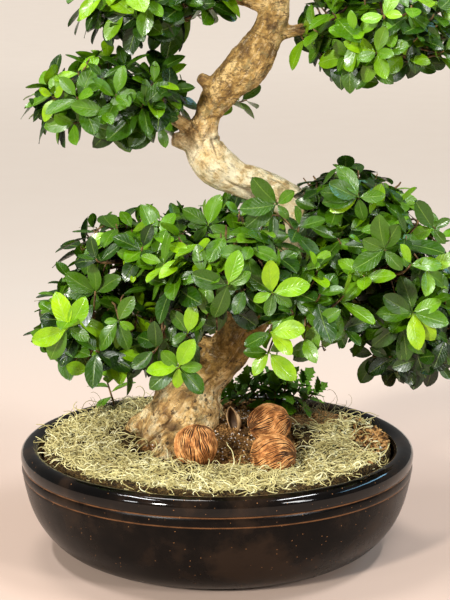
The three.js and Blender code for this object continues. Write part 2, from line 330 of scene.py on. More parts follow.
def ramp(tree, value, stops):
    made = node(tree, "ValToRGB", {"Fac": value})
    elements = made.color_ramp.elements
    while len(elements) < len(stops):
        elements.new(0.5)
    for element, (position, colour) in zip(elements, stops):
        element.position = position
        element.color = (*colour, 1)
    return made.outputs["Color"]


def mixColour(tree, share, first, second):
    first, second = [(*value, 1) if isinstance(value, tuple) else value for value in (first, second)]
    return node(tree, "Mix", {0: share, 6: first, 7: second}, data_type="RGBA").outputs[2]


def tint(tree, colour, value, edges, other):  # the other colour, let in between the value's edges
    return mixColour(tree, limits(tree, value, *edges), colour, other)


def newFinish(name, roughness, **sockets):
    made = bpy.data.materials.new(name)
    made.use_nodes = True
    shader = made.node_tree.nodes["Principled BSDF"]
    shader.inputs["Roughness"].default_value = roughness
    for socket, value in sockets.items():
        shader.inputs[socket.replace("_", " ")].default_value = value
    return made, made.node_tree, shader


def setColour(tree, shader, colour):
    tree.links.new(colour, shader.inputs["Base Color"])


def setRoughness(tree, shader, value):
    tree.links.new(value, shader.inputs["Roughness"])


def setBump(tree, shader, height, distance, strength):
    made = node(tree, "Bump", {"Height": height, "Distance": distance, "Strength": strength})
    tree.links.new(made.outputs["Normal"], shader.inputs["Normal"])


def speckledFinish(name, roughness, shine, grain, stops, bump=None, bumpGrain=None):
    finish, tree, shader = newFinish(name, roughness, Specular_IOR_Level=shine)
    coords = objectCoords(tree)
    value = noiseValue(tree, coords, *grain)
    setColour(tree, shader, ramp(tree, value, stops))
    if bump:
        setBump(tree, shader, noiseValue(tree, coords, *bumpGrain) if bumpGrain else value, *bump)
    return finish


# ---- camera, light and floor ----

photo = {"width": 450, "height": 600}
camera = {"place": (8, -1900, 658.9), "dip": 11.987, "lens": 115.96, "sensor": 36}  # dip in degrees
suns = {  # the way to the light, strength, softness in degrees, colour
    "keyLight": [(-0.50, -0.76, 0.42), 3.3, 7, (1, 0.97, 0.91)],
    "fillLight": [(0.66, -0.62, 0.44), 1.35, 12, (1, 0.98, 0.96)],
    "topLight": [(-0.15, 0.25, 0.95), 1.0, 16, (1, 0.99, 0.96)],
}
lamps = {  # small bright lamps that the glaze mirrors: place in metres, width, height, power, colour
    "topLeftLamp": [(-0.95, -0.25, 1.95), 0.70, 0.13, 22, (0.97, 0.98, 1)],
    "topRightLamp": [(0.95, -0.25, 1.95), 0.80, 0.13, 24, (0.97, 0.98, 1)],
    "lowLeftLamp": [(-1.75, -1.55, 0.75), 0.30, 0.22, 9, (0.97, 0.98, 1)],
    "lowRightLamp": [(1.75, -1.55, 0.75), 0.30, 0.22, 7, (0.97, 0.98, 1)],
    "windowLamp": [(1.60, 0.40, 1.20), 1.60, 0.12, 8, (0.34, 0.70, 1)],
}
surroundings = {"colour": (0.95, 0.92, 0.88, 1), "strength": 0.20}
floorDisc = {
    "radius": 14, "deep": 8,  # metres, and how far behind the bowl the colours go
    "colours": [(0.02, (0.54, 0.405, 0.33)), (0.15, (0.56, 0.49, 0.43)), (0.7, (0.77, 0.69, 0.62))],
    "grain": ((0.3, 0.7, 0.06, 0), (0.5, 0.4, 0.33)),
}

cameraPlace = millimetres(*camera["place"])
dip = math.radians(camera["dip"])
focal = camera["lens"] / camera["sensor"] * photo["height"]


def pixelOf(point):
    offset = point - cameraPlace
    depth = offset.y * math.cos(dip) - offset.z * math.sin(dip)
    rise = offset.y * math.sin(dip) + offset.z * math.cos(dip)
    return photo["width"] / 2 + focal * offset.x / depth, photo["height"] / 2 - focal * rise / depth


def pixelRay(px, py):
    right = (px - photo["width"] / 2) / focal
    rise = (photo["height"] / 2 - py) / focal
    return Vector((right, math.cos(dip) + rise * math.sin(dip), -math.sin(dip) + rise * math.cos(dip)))


def makeCamera():
    clearSelection()
    bpy.ops.object.camera_add(location=cameraPlace, rotation=(math.pi / 2 - dip, 0, 0))
    eye = nameActive("photoCamera")
    eye.data.sensor_fit = "VERTICAL"
    eye.data.sensor_height = camera["sensor"]
    eye.data.lens = camera["lens"]
    scene.camera = eye


def addLight(name, kind, spot, aim, colour):
    clearSelection()
    bpy.ops.object.light_add(type=kind, location=spot)
    lamp = nameActive(name)
    lamp.rotation_euler = (Vector(aim) - Vector(spot)).to_track_quat("-Z", "Y").to_euler()
    lamp.data.color = colour
    return lamp.data


def makeLight():
    for name, (spot, strength, soft, colour) in suns.items():
        lamp = addLight(name, "SUN", spot, (0, 0, 0), colour)
        lamp.energy = strength
        lamp.angle = math.radians(soft)
    for name, (spot, width, height, power, colour) in lamps.items():
        lamp = addLight(name, "AREA", spot, (0, 0, 0.1), colour)
        lamp.shape = "RECTANGLE"
        lamp.size = width
        lamp.size_y = height
        lamp.energy = power
    world = bpy.data.worlds.new("softRoom")
    world.use_nodes = True
    background = world.node_tree.nodes["Background"]
    background.inputs["Color"].default_value = surroundings["colour"]
    background.inputs["Strength"].default_value = surroundings["strength"]
    scene.world = world
    scene.view_settings.view_transform = "Standard"


def makeFloor():
    clearSelection()
    bpy.ops.mesh.primitive_circle_add(vertices=96, radius=floorDisc["radius"], fill_type="NGON")
    floor = nameActive("paleFloor")
    finish, tree, shader = newFinish("paleStone", 0.9, Specular_IOR_Level=0.15)
    coords = objectCoords(tree)
    colour = ramp(tree, limits(tree, partOf(tree, coords, "Y"), 0, floorDisc["deep"]), floorDisc["colours"])
    grain = noiseValue(tree, coords, 9, 6)
    setColour(tree, shader, tint(tree, colour, grain, *floorDisc["grain"]))
    dress(floor, finish)


makeCamera()
makeLight()
makeFloor()
print("camera, light and floor ready")


# ---- turned forms: the bowl and the soil in it ----

def turnedForm(name, sides, rings):  # extruded ring by ring from a disc, in (radius, height)
    clearSelection()
    radius, height = rings[0]
    bpy.ops.mesh.primitive_circle_add(vertices=sides, radius=radius * mm, fill_type="NGON",
                                      location=(0, 0, height * mm))
    piece = settle(nameActive(name))
    bpy.ops.object.mode_set(mode="EDIT")
    bpy.ops.mesh.select_all(action="SELECT")
    for wider, higher in rings[1:]:
        bpy.ops.mesh.extrude_region_move(
            TRANSFORM_OT_translate={"value": (0, 0, (higher - height) * mm)})
        share = wider / radius
        bpy.ops.transform.resize(value=(share, share, 1), center_override=(0, 0, 0))
        radius, height = wider, higher
    bpy.ops.object.mode_set(mode="OBJECT")
    return piece


bowl = {
    "sides": 64,
    "outside": [(134, 0), (138, 0), (140, 1.5), (149, 4), (158, 8), (171, 17.5), (184.5, 35),
                (192.5, 53), (197.4, 76), (198.2, 80), (197.5, 81.6), (198.6, 83.2), (199.4, 86.5),
                (198.9, 90), (197.9, 91.4), (199, 93), (200, 97), (200, 103), (196.5, 107.6),
                (190, 109.8), (184, 108.4), (179.7, 104), (178, 98)],
    "inside": [(176, 50), (150, 20), (110, 14)],
    "lines": [81.6, 91.4], "lineWidth": 0.9, "lipFrom": 93,
    "glaze": [(0.40, (0.0012, 0.0009, 0.0008)), (0.5, (0.0040, 0.0026, 0.0019)),
              (0.62, (0.017, 0.0095, 0.0055))],
    "lineColour": (0.15, 0.066, 0.026), "speckColour": (0.30, 0.135, 0.05),
    "shine": 0.11, "roughness": (0.2, 0.34), "lipShine": 0.30, "lipRoughness": 0.07,
}


def glazeFinish(name, shine):
    finish, tree, shader = newFinish(name, 0.2, Specular_IOR_Level=shine)
    coords = objectCoords(tree)
    height = partOf(tree, coords, "Z")
    cloud = noiseValue(tree, coords, 16, 5, 0.6)
    colour = ramp(tree, cloud, bowl["glaze"])
    wear = noiseValue(tree, objectCoords(tree, (1, 1, 3)), 60, 4)
    for line in bowl["lines"]:
        away = maths(tree, "ABSOLUTE", minus(tree, height, line * mm))
        band = limits(tree, away, bowl["lineWidth"] * mm * 0.35, bowl["lineWidth"] * mm, 1, 0)
        band = times(tree, band, limits(tree, wear, 0.32, 0.55, 0.25, 0.95))
        colour = mixColour(tree, band, colour, bowl["lineColour"])
    distance, picks = specks(tree, coords, 210)
    dot = limits(tree, distance, 0.05, 0.13, 1, 0)
    dot = times(tree, dot, limits(tree, picks["Red"], 0.62, 0.72))
    setColour(tree, shader, mixColour(tree, dot, colour, bowl["speckColour"]))
    gloss = limits(tree, height, (bowl["lipFrom"] - 2) * mm, bowl["lipFrom"] * mm)
    dull = limits(tree, cloud, 0.3, 0.7, *bowl["roughness"])
    made = node(tree, "Mix", {0: gloss, 2: dull, 3: bowl["lipRoughness"]}, data_type="FLOAT")
    setRoughness(tree, shader, made.outputs[0])
    waves = noiseValue(tree, coords, 26, 2)
    setBump(tree, shader, plus(tree, waves, times(tree, wear, 0.05)), 0.0012, 0.5)
    return finish


def makeBowl():
    piece = turnedForm("glazedBowl", bowl["sides"], bowl["outside"] + bowl["inside"])
    applyModifier(piece, "SUBSURF", levels=2, render_levels=2)
    smooth(piece, 60)
    dress(piece, glazeFinish("glaze", bowl["shine"]), glazeFinish("lipGlaze", bowl["lipShine"]))
    for face in piece.data.polygons:
        face.material_index = int(face.center.z > bowl["lipFrom"] * mm)
    place(piece, "glaze", "bowl")


makeBowl()
print("bowl ready")


# ---- soil ----

soil = {
    "sides": 128,
    "wall": [(107, 14.6), (149, 21), (175, 51), (176.4, 92)],  # radius and height, from the bottom
    "topStep": 3.4, "edge": 98, "lump": 2.0,
    "mound": 28, "spread": 55, "top": (-5, 25),
    "heap": (34, 118, 44, 7),  # place, spread and height of the earth heaped behind the trunk
    "rimRise": (138, 172, 5.5),  # the radii between which the earth rises to the lip, and how far
    "bare": (0, 20, 98, 100),  # middle and half sizes of the soil without moss
    "colours": [(0.40, (0.030, 0.013, 0.003)), (0.5, (0.23, 0.105, 0.024)), (0.6, (0.56, 0.31, 0.105))],
    "damp": ((0.45, 0.6, 0, 0.6), (0.026, 0.013, 0.005)),
    "crumbForms": 4, "crumbUneven": 0.7, "crumbs": 1500, "crumbSize": (0.8, 3.4),
    "crumbShape": ((0.6, 1), (0.5, 0.9)),  # width and height as shares of the length
    "crumbColours": [(0.41, (0.050, 0.022, 0.006)), (0.5, (0.26, 0.125, 0.034)),
                     (0.59, (0.56, 0.32, 0.12))],
    "grains": 520, "grainSize": (0.9, 2.2),
    "grainColours": [(0.35, (0.55, 0.47, 0.38)), (0.6, (0.87, 0.84, 0.78))],
}


def moundAt(x, y):  # the soil's height, all in metres
    dx, dy = x / mm - soil["top"][0], y / mm - soil["top"][1]
    rise = soil["mound"] * math.exp(-(dx * dx + dy * dy) / (2 * soil["spread"] ** 2))
    x0, y0, wide, high = soil["heap"]
    rise += high * math.exp(-((x / mm - x0) ** 2 + (y / mm - y0) ** 2) / (2 * wide ** 2))
    return (soil["edge"] + rise) * mm


def rimRise(x, y):
    inner, outer, rise = soil["rimRise"]
    return rise * mm * easeStep(math.hypot(x, y) / mm, inner, outer)


def groundAt(x, y):
    lumps = noise.noise(Vector((x, y, 0)) * 95) + 0.5 * noise.noise(Vector((x, y, 0.3)) * 260)
    return moundAt(x, y) + soil["lump"] * mm * (lumps - 0.45) + rimRise(x, y)


def soilFinish():
    finish, tree, shader = newFinish("soil", 0.92, Specular_IOR_Level=0.25)
    coords = objectCoords(tree)
    grain = noiseValue(tree, coords, 420, 6, 0.7)
    patch = noiseValue(tree, coords, 45, 4)
    colour = ramp(tree, grain, soil["colours"])
    setColour(tree, shader, tint(tree, colour, patch, *soil["damp"]))
    setBump(tree, shader, grain, 0.0025, 0.8)
    return finish


def crumbForm(seed):  # a lump that is copied, about one unit across
    clearSelection()
    bpy.ops.mesh.primitive_ico_sphere_add(subdivisions=1, radius=0.5)
    form = nameActive("crumbForm")
    for vertex in form.data.vertices:
        vertex.co *= 1 + soil["crumbUneven"] * noise.noise(vertex.co * 2.3 + Vector((seed, 0, 0)))
    return readAway(form)


crumbForms = [crumbForm(seed) for seed in range(soil["crumbForms"])]
crumbFinish = speckledFinish("crumb", 0.9, 0.25, (150, 3), soil["crumbColours"], (0.0006, 0.7), (900, 3))
perliteFinish = speckledFinish("perlite", 0.7, 0.3, (260, 3), soil["grainColours"])


def crumbCopy(draw, index, spot, size, wide, high):  # a crumb turned at random and pressed flat
    turn = Matrix.Rotation(draw.uniform(0, 6.3), 4, Vector((draw.random(), draw.random(), 1)))
    squat = Matrix.Diagonal((1, draw.uniform(*wide), draw.uniform(*high), 1))
    matrix = Matrix.Translation(spot) @ turn @ squat @ Matrix.Scale(size, 4)
    return index % len(crumbForms), matrix, {}


def bareShare(x, y):  # 1 on the edge of the bare soil, less inside
    x0, y0, rx, ry = soil["bare"]
    return math.hypot((x / mm - x0) / rx, (y / mm - y0) / ry)


def bareSpot(draw, reach):  # a random place on the bare soil, thinning outwards
    x0, y0, rx, ry = soil["bare"]
    angle = draw.uniform(0, 2 * math.pi)
    out = math.sqrt(draw.uniform(0, 1)) * reach
    return (x0 + rx * out * math.cos(angle)) * mm, (y0 + ry * out * math.sin(angle)) * mm


def scatter(name, count, sizes, lift, seed, finish, reach):  # over the bare soil
    draw = random.Random(seed)
    copies = []
    for index in range(count):
        x, y = bareSpot(draw, reach)
        size = draw.uniform(*sizes) * mm
        spot = Vector((x, y, groundAt(x, y) + size * lift))
        copies.append(crumbCopy(draw, index, spot, size, *soil["crumbShape"]))
    place(copied(name, crumbForms, copies, [finish], 40), "earth")


def makeSoil():
    rings = list(soil["wall"])
    radius = soil["wall"][-1][0]
    while radius > soil["topStep"]:
        rings.append((radius, soil["edge"]))
        radius -= soil["topStep"]
    piece = turnedForm("pottingSoil", soil["sides"], rings)
    for vertex in piece.data.vertices:
        if vertex.co.z > (soil["edge"] - 1) * mm:
            vertex.co.z = groundAt(vertex.co.x, vertex.co.y)
    smooth(piece, 60)
    dress(piece, soilFinish())
    place(piece, "earth", "soil")
    scatter("soilCrumbs", soil["crumbs"], soil["crumbSize"], 0.12, 21, crumbFinish, 1)
    scatter("perliteGrains", soil["grains"], soil["grainSize"], 0.3, 22, perliteFinish, 1.04)


makeSoil()
print("soil ready")


# ---- moss ----

moss = {
    "voxel": 2.2, "relief": 1.6,
    "matColours": [(0.42, (0.008, 0.004, 0.001)), (0.5, (0.045, 0.024, 0.007)),
                   (0.6, (0.15, 0.095, 0.028))],
    "strandColours": [(0.0, (0.10, 0.11, 0.065)), (0.08, (0.26, 0.20, 0.07)), (0.35, (0.49, 0.415, 0.16)),
                      (0.7, (0.76, 0.69, 0.33)), (1.0, (0.95, 0.91, 0.58))],
    "dull": ((0.42, 0.6, 0, 0.3), (0.40, 0.34, 0.14)),
    "forms": 20, "points": 20, "length": (34, 62), "radius": 0.56,
    "curl": (0.16, 0.62), "stray": 0.30, "lift": 1.5, "turnBack": 0.09,  # share of the points
    "strands": 2250, "tilt": 0.95, "above": (-1.5, 4.0), "rim": 171.5, "tone": (0.54, 0.25),
    "clearTo": 1.1, "thinning": 0.8, "patchThinning": 0.93,
    "patches": [  # middle and half sizes of the earth on the moss, crumbs and pale grains on it
        (158, 8, 20, 54, 620, 190), (30, 138, 66, 20, 420, 60)],
    "chipSize": (1.5, 6), "chipShape": ((0.5, 1), (0.4, 0.8)), "chipLift": 0.25, "earthRim": 174,
    "wisps": [(-110, 112), (-92, 126), (104, 118), (122, 104), (-128, 92)],
    "wispForms": 6, "wispStrands": 12, "wispLength": (60, 90), "wispRadius": 0.36,
    "wispCurl": (0.08, 0.34), "wispSpread": (9, 5), "wispRise": (6, 13), "wispTone": (0, 0.06),
}


def mossStrandFinish():
    finish, tree, shader = newFinish("mossStrand", 0.75, Specular_IOR_Level=0.3)
    colour = ramp(tree, attribute(tree, "tone"), moss["strandColours"])
    vary = noiseValue(tree, objectCoords(tree), 120, 2)
    setColour(tree, shader, tint(tree, colour, vary, *moss["dull"]))
    return finish


def strandForm(index, draw, length, curl, radius):  # one curly strand along X
    count = moss["points"]
    step = draw.uniform(*length) * mm / count
    heading, bend = draw.uniform(-0.4, 0.4), draw.choice((-1, 1)) * draw.uniform(*curl)
    spot = Vector((0, 0, 0))
    points = []
    for k in range(count + 1):
        points.append(spot.copy())
        if draw.random() < moss["turnBack"]:
            bend = -bend
        heading += bend + draw.gauss(0, moss["stray"])
        spot += Vector((math.cos(heading), math.sin(heading), 0)) * step
        spot.z = moss["lift"] * mm * math.sin(k * 0.6 + index)
    middle = sum(points, Vector()) / len(points)
    curve = tubeCurve("strand", 0)
    radii = [radius * mm * (0.55 + 0.45 * math.sin(math.pi * k / count)) for k in range(count + 1)]
    addTube(curve, [point - middle for point in points], radii)
    return readAway(curveToMesh(curve, "strandForm"))


def mossMat():
    mat = newPiece("mossMat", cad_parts["moss"].data.copy())
    weld(mat, 1e-5)
    applyModifier(mat, "REMESH", mode="VOXEL", voxel_size=moss["voxel"] * mm)
    for vertex in mat.data.vertices:
        bumps = noise.noise(vertex.co * 160) + 0.6 * noise.noise(vertex.co * 420)
        vertex.co.z += moss["relief"] * mm * (bumps - 0.3) + 0.8 * rimRise(vertex.co.x, vertex.co.y)
    smooth(mat, 180)
    dress(mat, speckledFinish("mossMat", 0.95, 0.2, (330, 5, 0.7, 1.5), moss["matColours"], (0.003, 0.9)))
    return place(mat, "moss", "moss")


def makeMoss():
    draw = random.Random(31)
    mat = mossMat()
    surface = BVHTree.FromObject(mat, bpy.context.evaluated_depsgraph_get())
    forms = [strandForm(index, draw, moss["length"], moss["curl"], moss["radius"])
             for index in range(moss["forms"])]
    wisps = [strandForm(index, draw, moss["wispLength"], moss["wispCurl"], moss["wispRadius"])
             for index in range(moss["wispForms"])]
    low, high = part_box("moss")
    copies = {}

    def top(x, y):
        return surface.ray_cast(Vector((x, y, high.z + 0.05)), -up)

    def addStrand(kinds, spot, along, above, tone, size):
        name = "mossStrands" + ("Front" if spot.y < 0 else "Back") + ("Left" if spot.x < 0 else "Right")
        strand = draw.choice(kinds), basis(along, above, spot, size), {"tone": tone}
        copies.setdefault(name, []).append(strand)

    made = 0
    while made < moss["strands"]:
        x, y = draw.uniform(low.x, high.x), draw.uniform(low.y, high.y)
        spot, normal, _, _ = top(x, y)
        clear = moss["thinning"] if bareShare(x, y) < moss["clearTo"] else 0
        if patchShare(x, y) < 1:
            clear = moss["patchThinning"]
        if spot is None or math.hypot(x, y) > moss["rim"] * mm or draw.random() < clear:
            continue
        spot += up * draw.uniform(*moss["above"]) * mm
        lean = Vector((draw.gauss(0, moss["tilt"]), draw.gauss(0, moss["tilt"]), 1)).normalized()
        yaw = draw.uniform(0, 2 * math.pi)
        along = Vector((math.cos(yaw), math.sin(yaw), 0))
        tone = clamp(draw.gauss(*moss["tone"]), 0.05)
        addStrand(range(len(forms)), spot, along, lean + normal * 0.3, tone, draw.uniform(0.75, 1.1))
        made += 1
    wide, deep = moss["wispSpread"]
    for x, y in moss["wisps"]:  # dark wiry strands that stand up at the rim
        for _ in range(moss["wispStrands"]):
            spot = Vector(((x + draw.gauss(0, wide)) * mm, (y + draw.gauss(0, deep)) * mm, 0))
            spot.z = moundAt(spot.x, spot.y) + draw.uniform(*moss["wispRise"]) * mm
            along = Vector((draw.uniform(-1, 1), draw.uniform(-0.5, 0.5), draw.uniform(0.3, 1.2)))
            above = Vector((draw.uniform(-1, 1), -1, draw.uniform(-0.3, 0.3)))
            addStrand(range(len(forms), len(forms) + len(wisps)), spot, along, above,
                      draw.uniform(*moss["wispTone"]), draw.uniform(0.6, 1.0))
    finish = mossStrandFinish()
    for name, strands in copies.items():
        place(copied(name, forms + wisps, strands, [finish], 180), "moss")
    for number, patch in enumerate(moss["patches"], 1):
        crumbs, grains = patch[4:]
        strew("patchCrumbs{}".format(number), patch, crumbs, moss["chipSize"], top, draw, crumbFinish)
        strew("patchGrains{}".format(number), patch, grains, soil["grainSize"], top, draw, perliteFinish)


def patchShare(x, y):  # less than 1 on the earth that shows through the moss
    return min(math.hypot((x / mm - x0) / rx, (y / mm - y0) / ry)
               for x0, y0, rx, ry, _, _ in moss["patches"])


def strew(name, patch, count, sizes, top, draw, finish):  # crumbs that lie on the moss or the earth
    x0, y0, rx, ry = patch[:4]
    copies = []
    while len(copies) < count:
        x, y = draw.gauss(x0, rx * 0.6) * mm, draw.gauss(y0, ry * 0.6) * mm
        if math.hypot(x, y) > moss["earthRim"] * mm:
            continue
        spot = top(x, y)[0] or Vector((x, y, groundAt(x, y)))
        size = draw.uniform(*sizes) * mm
        spot += up * size * moss["chipLift"]
        copies.append(crumbCopy(draw, len(copies), spot, size, *moss["chipShape"]))
    place(copied(name, crumbForms, copies, [finish], 40), "earth")


makeMoss()
print("moss ready")


# ---- trunk, roots and main limbs ----

wood = {
    "line": [  # x, y, z and radius, from the soil to the top
        (-43, 14, 94, 37), (-42, 14, 110, 39), (-37, 13, 128, 38), (-30, 15, 146, 35.5),
        (-20, 17, 164, 27.5), (-6, 18, 180, 22.5), (12, 17, 202, 21.5), (30, 15, 228, 22),
        (52, 12, 260, 22), (74, 11, 290, 21), (88, 12, 320, 19.5), (79, 15, 347, 17.5),
        (58, 14, 363, 17), (38, 11, 371, 17), (20, 9, 378, 17.5), (0, 6, 390, 20),
        (-11, 4, 404, 20), (-15, 2, 421, 16.5), (-11, 2, 438, 12.8), (-3, 2, 454, 15.5),
        (12, 2, 472, 19), (30, 4, 490, 20), (48, 5, 518, 17), (57, 6, 545, 15),
        (58, 8, 578, 12.5), (51, 10, 618, 9), (46, 10, 656, 5.5)],
    "steps": 10, "bevel": 12, "voxel": 1.5,  # how finely the tubes are made and joined
    "limbRadius": (8, 3.6), "limbRise": 10, "limbBend": 0.5,
    "roots": [  # points and radius at each end
        ([(-50, -20, 140), (-60, -22, 129), (-70, -16, 116), (-82, -8, 101)], (6, 3.2)),
        ([(-50, 10, 142), (-72, 20, 126), (-86, 32, 112), (-99, 41, 98)], (18, 6)),
        ([(-56, 2, 130), (-72, 8, 116), (-82, 12, 106), (-92, 14, 97)], (8, 3.5)),
        ([(-38, -14, 118), (-46, -30, 113), (-54, -43, 106), (-62, -56, 96)], (15, 10)),
        ([(-30, -20, 128), (-34, -34, 114), (-37, -42, 104), (-41, -50, 94)], (9, 5)),
        ([(-10, 34, 126), (2, 48, 114), (10, 56, 104), (14, 62, 94)], (13, 5)),
        ([(-50, 40, 132), (-60, 62, 116), (-66, 80, 104), (-70, 92, 94)], (16, 6)),
        ([(-10, 48, 126), (-8, 72, 112), (-4, 88, 102), (0, 98, 92)], (15, 6))],
    "stubs": [  # from, to, radius at each end
        ((-2, 2, 468), (-17, -3, 480), (9.5, 5)),
        ((-18, 4, 412), (-44, 0, 418), (12, 6.5))],
    "coarse": (3.4, 34), "middle": (1.7, 80), "fine": (0.6, 240),  # relief and noise scale
    "grain": (0.9, 210), "stretch": 0.25,  # the same for the grain, and how it is drawn out
    "furrow": (2.6, 58, 0.11),  # depth, noise scale and width of the long creases
    "furrowGaps": (21, -0.25, 0.2),  # noise scale of the stretches without them, and its edges
    "hollows": [  # place, half sizes and depth of the dents between the roots; their depth also sets painted shade in the bark
        ((-46, -29, 131), (12, 12, 5), 6), ((-60, -30, 114), (6, 12, 11), 5),
        ((-78, 2, 112), (7, 9, 12), 6), ((-66, 26, 150), (10, 12, 12), 3),
        ((2, -6, 112), (7, 14, 12), 4), ((-16, -22, 122), (10, 8, 8), 3)],
    "trims": [  # the same for the parts that are shaved off without painted shade
        ((-84, 6, 136), (15, 34, 15), 9)],
    "smoothBend": (0.285, 0.315, 0.41, 0.44, 0.6),  # its heights in metres, and how much calmer it is
}
pads = [  # name, middle and half sizes, trunk point the limb leaves, sprays, turn in degrees
    ("lower_left", (-124, -12, 228), (58, 76, 56), 6, 3, -34),
    ("mid_left", (-82, 8, 304), (68, 76, 44), 8, 2, 40),
    ("front", (8, -84, 300), (66, 46, 56), 9, 3, 56),
    ("front_right", (84, -84, 262), (50, 44, 56), 8, 2, 20),
    ("right", (158, -16, 296), (70, 90, 62), 10, 3, 26),
    ("lower_right", (200, 0, 236), (58, 78, 48), 8, 2, 40),
    ("shoulder", (134, 18, 362), (62, 66, 30), 11, 2, 10),
    ("back", (48, 106, 292), (82, 52, 58), 9, 3, -4),
    ("back_left", (-48, 92, 256), (60, 52, 52), 7, 2, 0),
    ("high_left", (-104, 0, 462), (78, 72, 36), 17, 3, -34),
    ("top_left", (-60, 14, 562), (80, 78, 46), 23, 3, -34),
    ("high_right", (164, 0, 526), (84, 84, 52), 22, 3, 26),
    ("crown", (44, 10, 682), (96, 92, 60), 25, 4, 20),
]


def limbPoints(pad):
    first = Vector(wood["line"][pad[3]][:3]) * mm
    last = Vector(pad[1]) * mm - up * wood["limbRise"] * mm
    bend = first.lerp(last, wood["limbBend"]) + up * wood["limbRise"] * mm
    return [first, bend, last]


bark = {
    "tan": [(0.40, (0.30, 0.165, 0.052)), (0.46, (0.56, 0.335, 0.110)), (0.52, (0.80, 0.53, 0.205)),
            (0.59, (0.97, 0.80, 0.46))],
    "cream": [(0.40, (0.46, 0.30, 0.12)), (0.46, (0.74, 0.58, 0.30)), (0.56, (0.90, 0.80, 0.54))],
    "brownAndShade": [(0.39, (0.12, 0.066, 0.014)), (0.5, (0.34, 0.200, 0.042)), (0.6, (0.66, 0.43, 0.140))],
    # Heights in metres between which one colour gives way to the next, the last one partly. The brown low
    # on the trunk below the pale bend, and the brown mixed in high above it, are partly the bark's browner
    # colour and partly painted shade under the foliage.
    "toBrownAndShade": (0.160, 0.180), "toCream": (0.285, 0.32), "toTan": (0.40, 0.43),
    "toShade": (0.415, 0.45, 0, 0.80),
    # What comes in over them: the limits it comes in between and its shares there, then its colour
    "streak": ((0.54, 0.62, 0, 0.45), (0.16, 0.085, 0.028)),
    "paleStreak": ((0.38, 0.45, 0.3, 0), (0.90, 0.78, 0.54)),
    "lichen": ((0.545, 0.60, 0, 0.58), (0.21, 0.18, 0.075)),
    # Painted shade: darker where the bark is dented or creased
    "paintedHollowShade": ((0.3, 1, 0, 0.75), (0.075, 0.042, 0.014)),
    "thin": ((0.35, 0.9, 0, 0.7), (0.16, 0.072, 0.028)),
    "crack": (0.11, 0.058, 0.020), "stain": (0.085, 0.048, 0.016), "pit": (0.045, 0.027, 0.010),
    # Scale, detail, roughness and distortion of the noise behind each
    "cloudNoise": (52, 7, 0.68, 0.3), "wanderNoise": (40, 3), "streakNoise": (300, 5, 0.7),
    "crackNoise": (105, 4, 0.7, 1.4), "lichenNoise": (70, 5, 0.75), "stainNoise": (150, 5, 0.75, 0.8),
    "fineNoise": (500, 4, 0.7),
    "wander": 0.08,  # metres that the heights above play up and down
    "crackLimits": (0.55, 0.60, 0, 0.75), "crackHeights": (0.40, 0.44), "crackStretch": (1, 1, 3.2),
    "stainLimits": (0.555, 0.615, 0, 0.78), "stainCalm": 0.55,  # how much less on the smooth bend
    "pits": 200, "pitSize": (0.14, 0.42), "pitLimits": (0.72, 0.78, 0, 0.85),
    "pitHeights": (0.17, 0.26, 1, 0.3),
    "fine": 0.7, "bump": (0.0024, 0.9),
}


def barkFinish():
    finish, tree, shader = newFinish("bark", 0.68, Specular_IOR_Level=0.35)
    coords = objectCoords(tree)
    cloud = noiseValue(tree, coords, *bark["cloudNoise"])
    tan, cream, brownAndShade = [ramp(tree, cloud, bark[name]) for name in ("tan", "cream", "brownAndShade")]
    wander = minus(tree, noiseValue(tree, coords, *bark["wanderNoise"]), 0.5)
    level = plus(tree, partOf(tree, coords, "Z"), times(tree, wander, bark["wander"]))
    colour = tan
    # Brown low and high on the trunk: partly browner bark, partly painted shade under the foliage
    for name, other in (("toBrownAndShade", brownAndShade), ("toCream", cream), ("toTan", tan), ("toShade", brownAndShade)):
        colour = tint(tree, colour, level, bark[name], other)
    streak = noiseValue(tree, attribute(tree, "flow", "Vector"), *bark["streakNoise"])
    colour = tint(tree, colour, streak, *bark["streak"])
    colour = tint(tree, colour, streak, *bark["paleStreak"])
    crack = noiseValue(tree, objectCoords(tree, bark["crackStretch"]), *bark["crackNoise"])
    crack = limits(tree, crack, *bark["crackLimits"])
    crack = times(tree, crack, limits(tree, level, *bark["crackHeights"]))
    colour = mixColour(tree, crack, colour, bark["crack"])
    colour = tint(tree, colour, noiseValue(tree, coords, *bark["lichenNoise"]), *bark["lichen"])
    bend = times(tree, limits(tree, level, *bark["toCream"]), limits(tree, level, *bark["toTan"], 1, 0))
    stain = limits(tree, noiseValue(tree, coords, *bark["stainNoise"]), *bark["stainLimits"])
    stain = maths(tree, "MAXIMUM", minus(tree, stain, times(tree, bend, bark["stainCalm"])), 0)
    colour = mixColour(tree, stain, colour, bark["stain"])
    distance, picks = specks(tree, coords, bark["pits"])
    pit = maths(tree, "LESS_THAN", distance, limits(tree, picks["Blue"], 0, 1, *bark["pitSize"]))
    pit = times(tree, pit, limits(tree, picks["Green"], *bark["pitLimits"]))
    pit = times(tree, pit, limits(tree, level, *bark["pitHeights"]))
    colour = mixColour(tree, pit, colour, bark["pit"])
    # Painted shade in the dents and creases, then the darker bark of thin limbs
    for name in ("paintedHollowShade", "thin"):
        colour = tint(tree, colour, attribute(tree, name), *bark[name])
    setColour(tree, shader, colour)
    fine = times(tree, noiseValue(tree, coords, *bark["fineNoise"]), bark["fine"])
    setBump(tree, shader, plus(tree, streak, fine), *bark["bump"])
    return finish


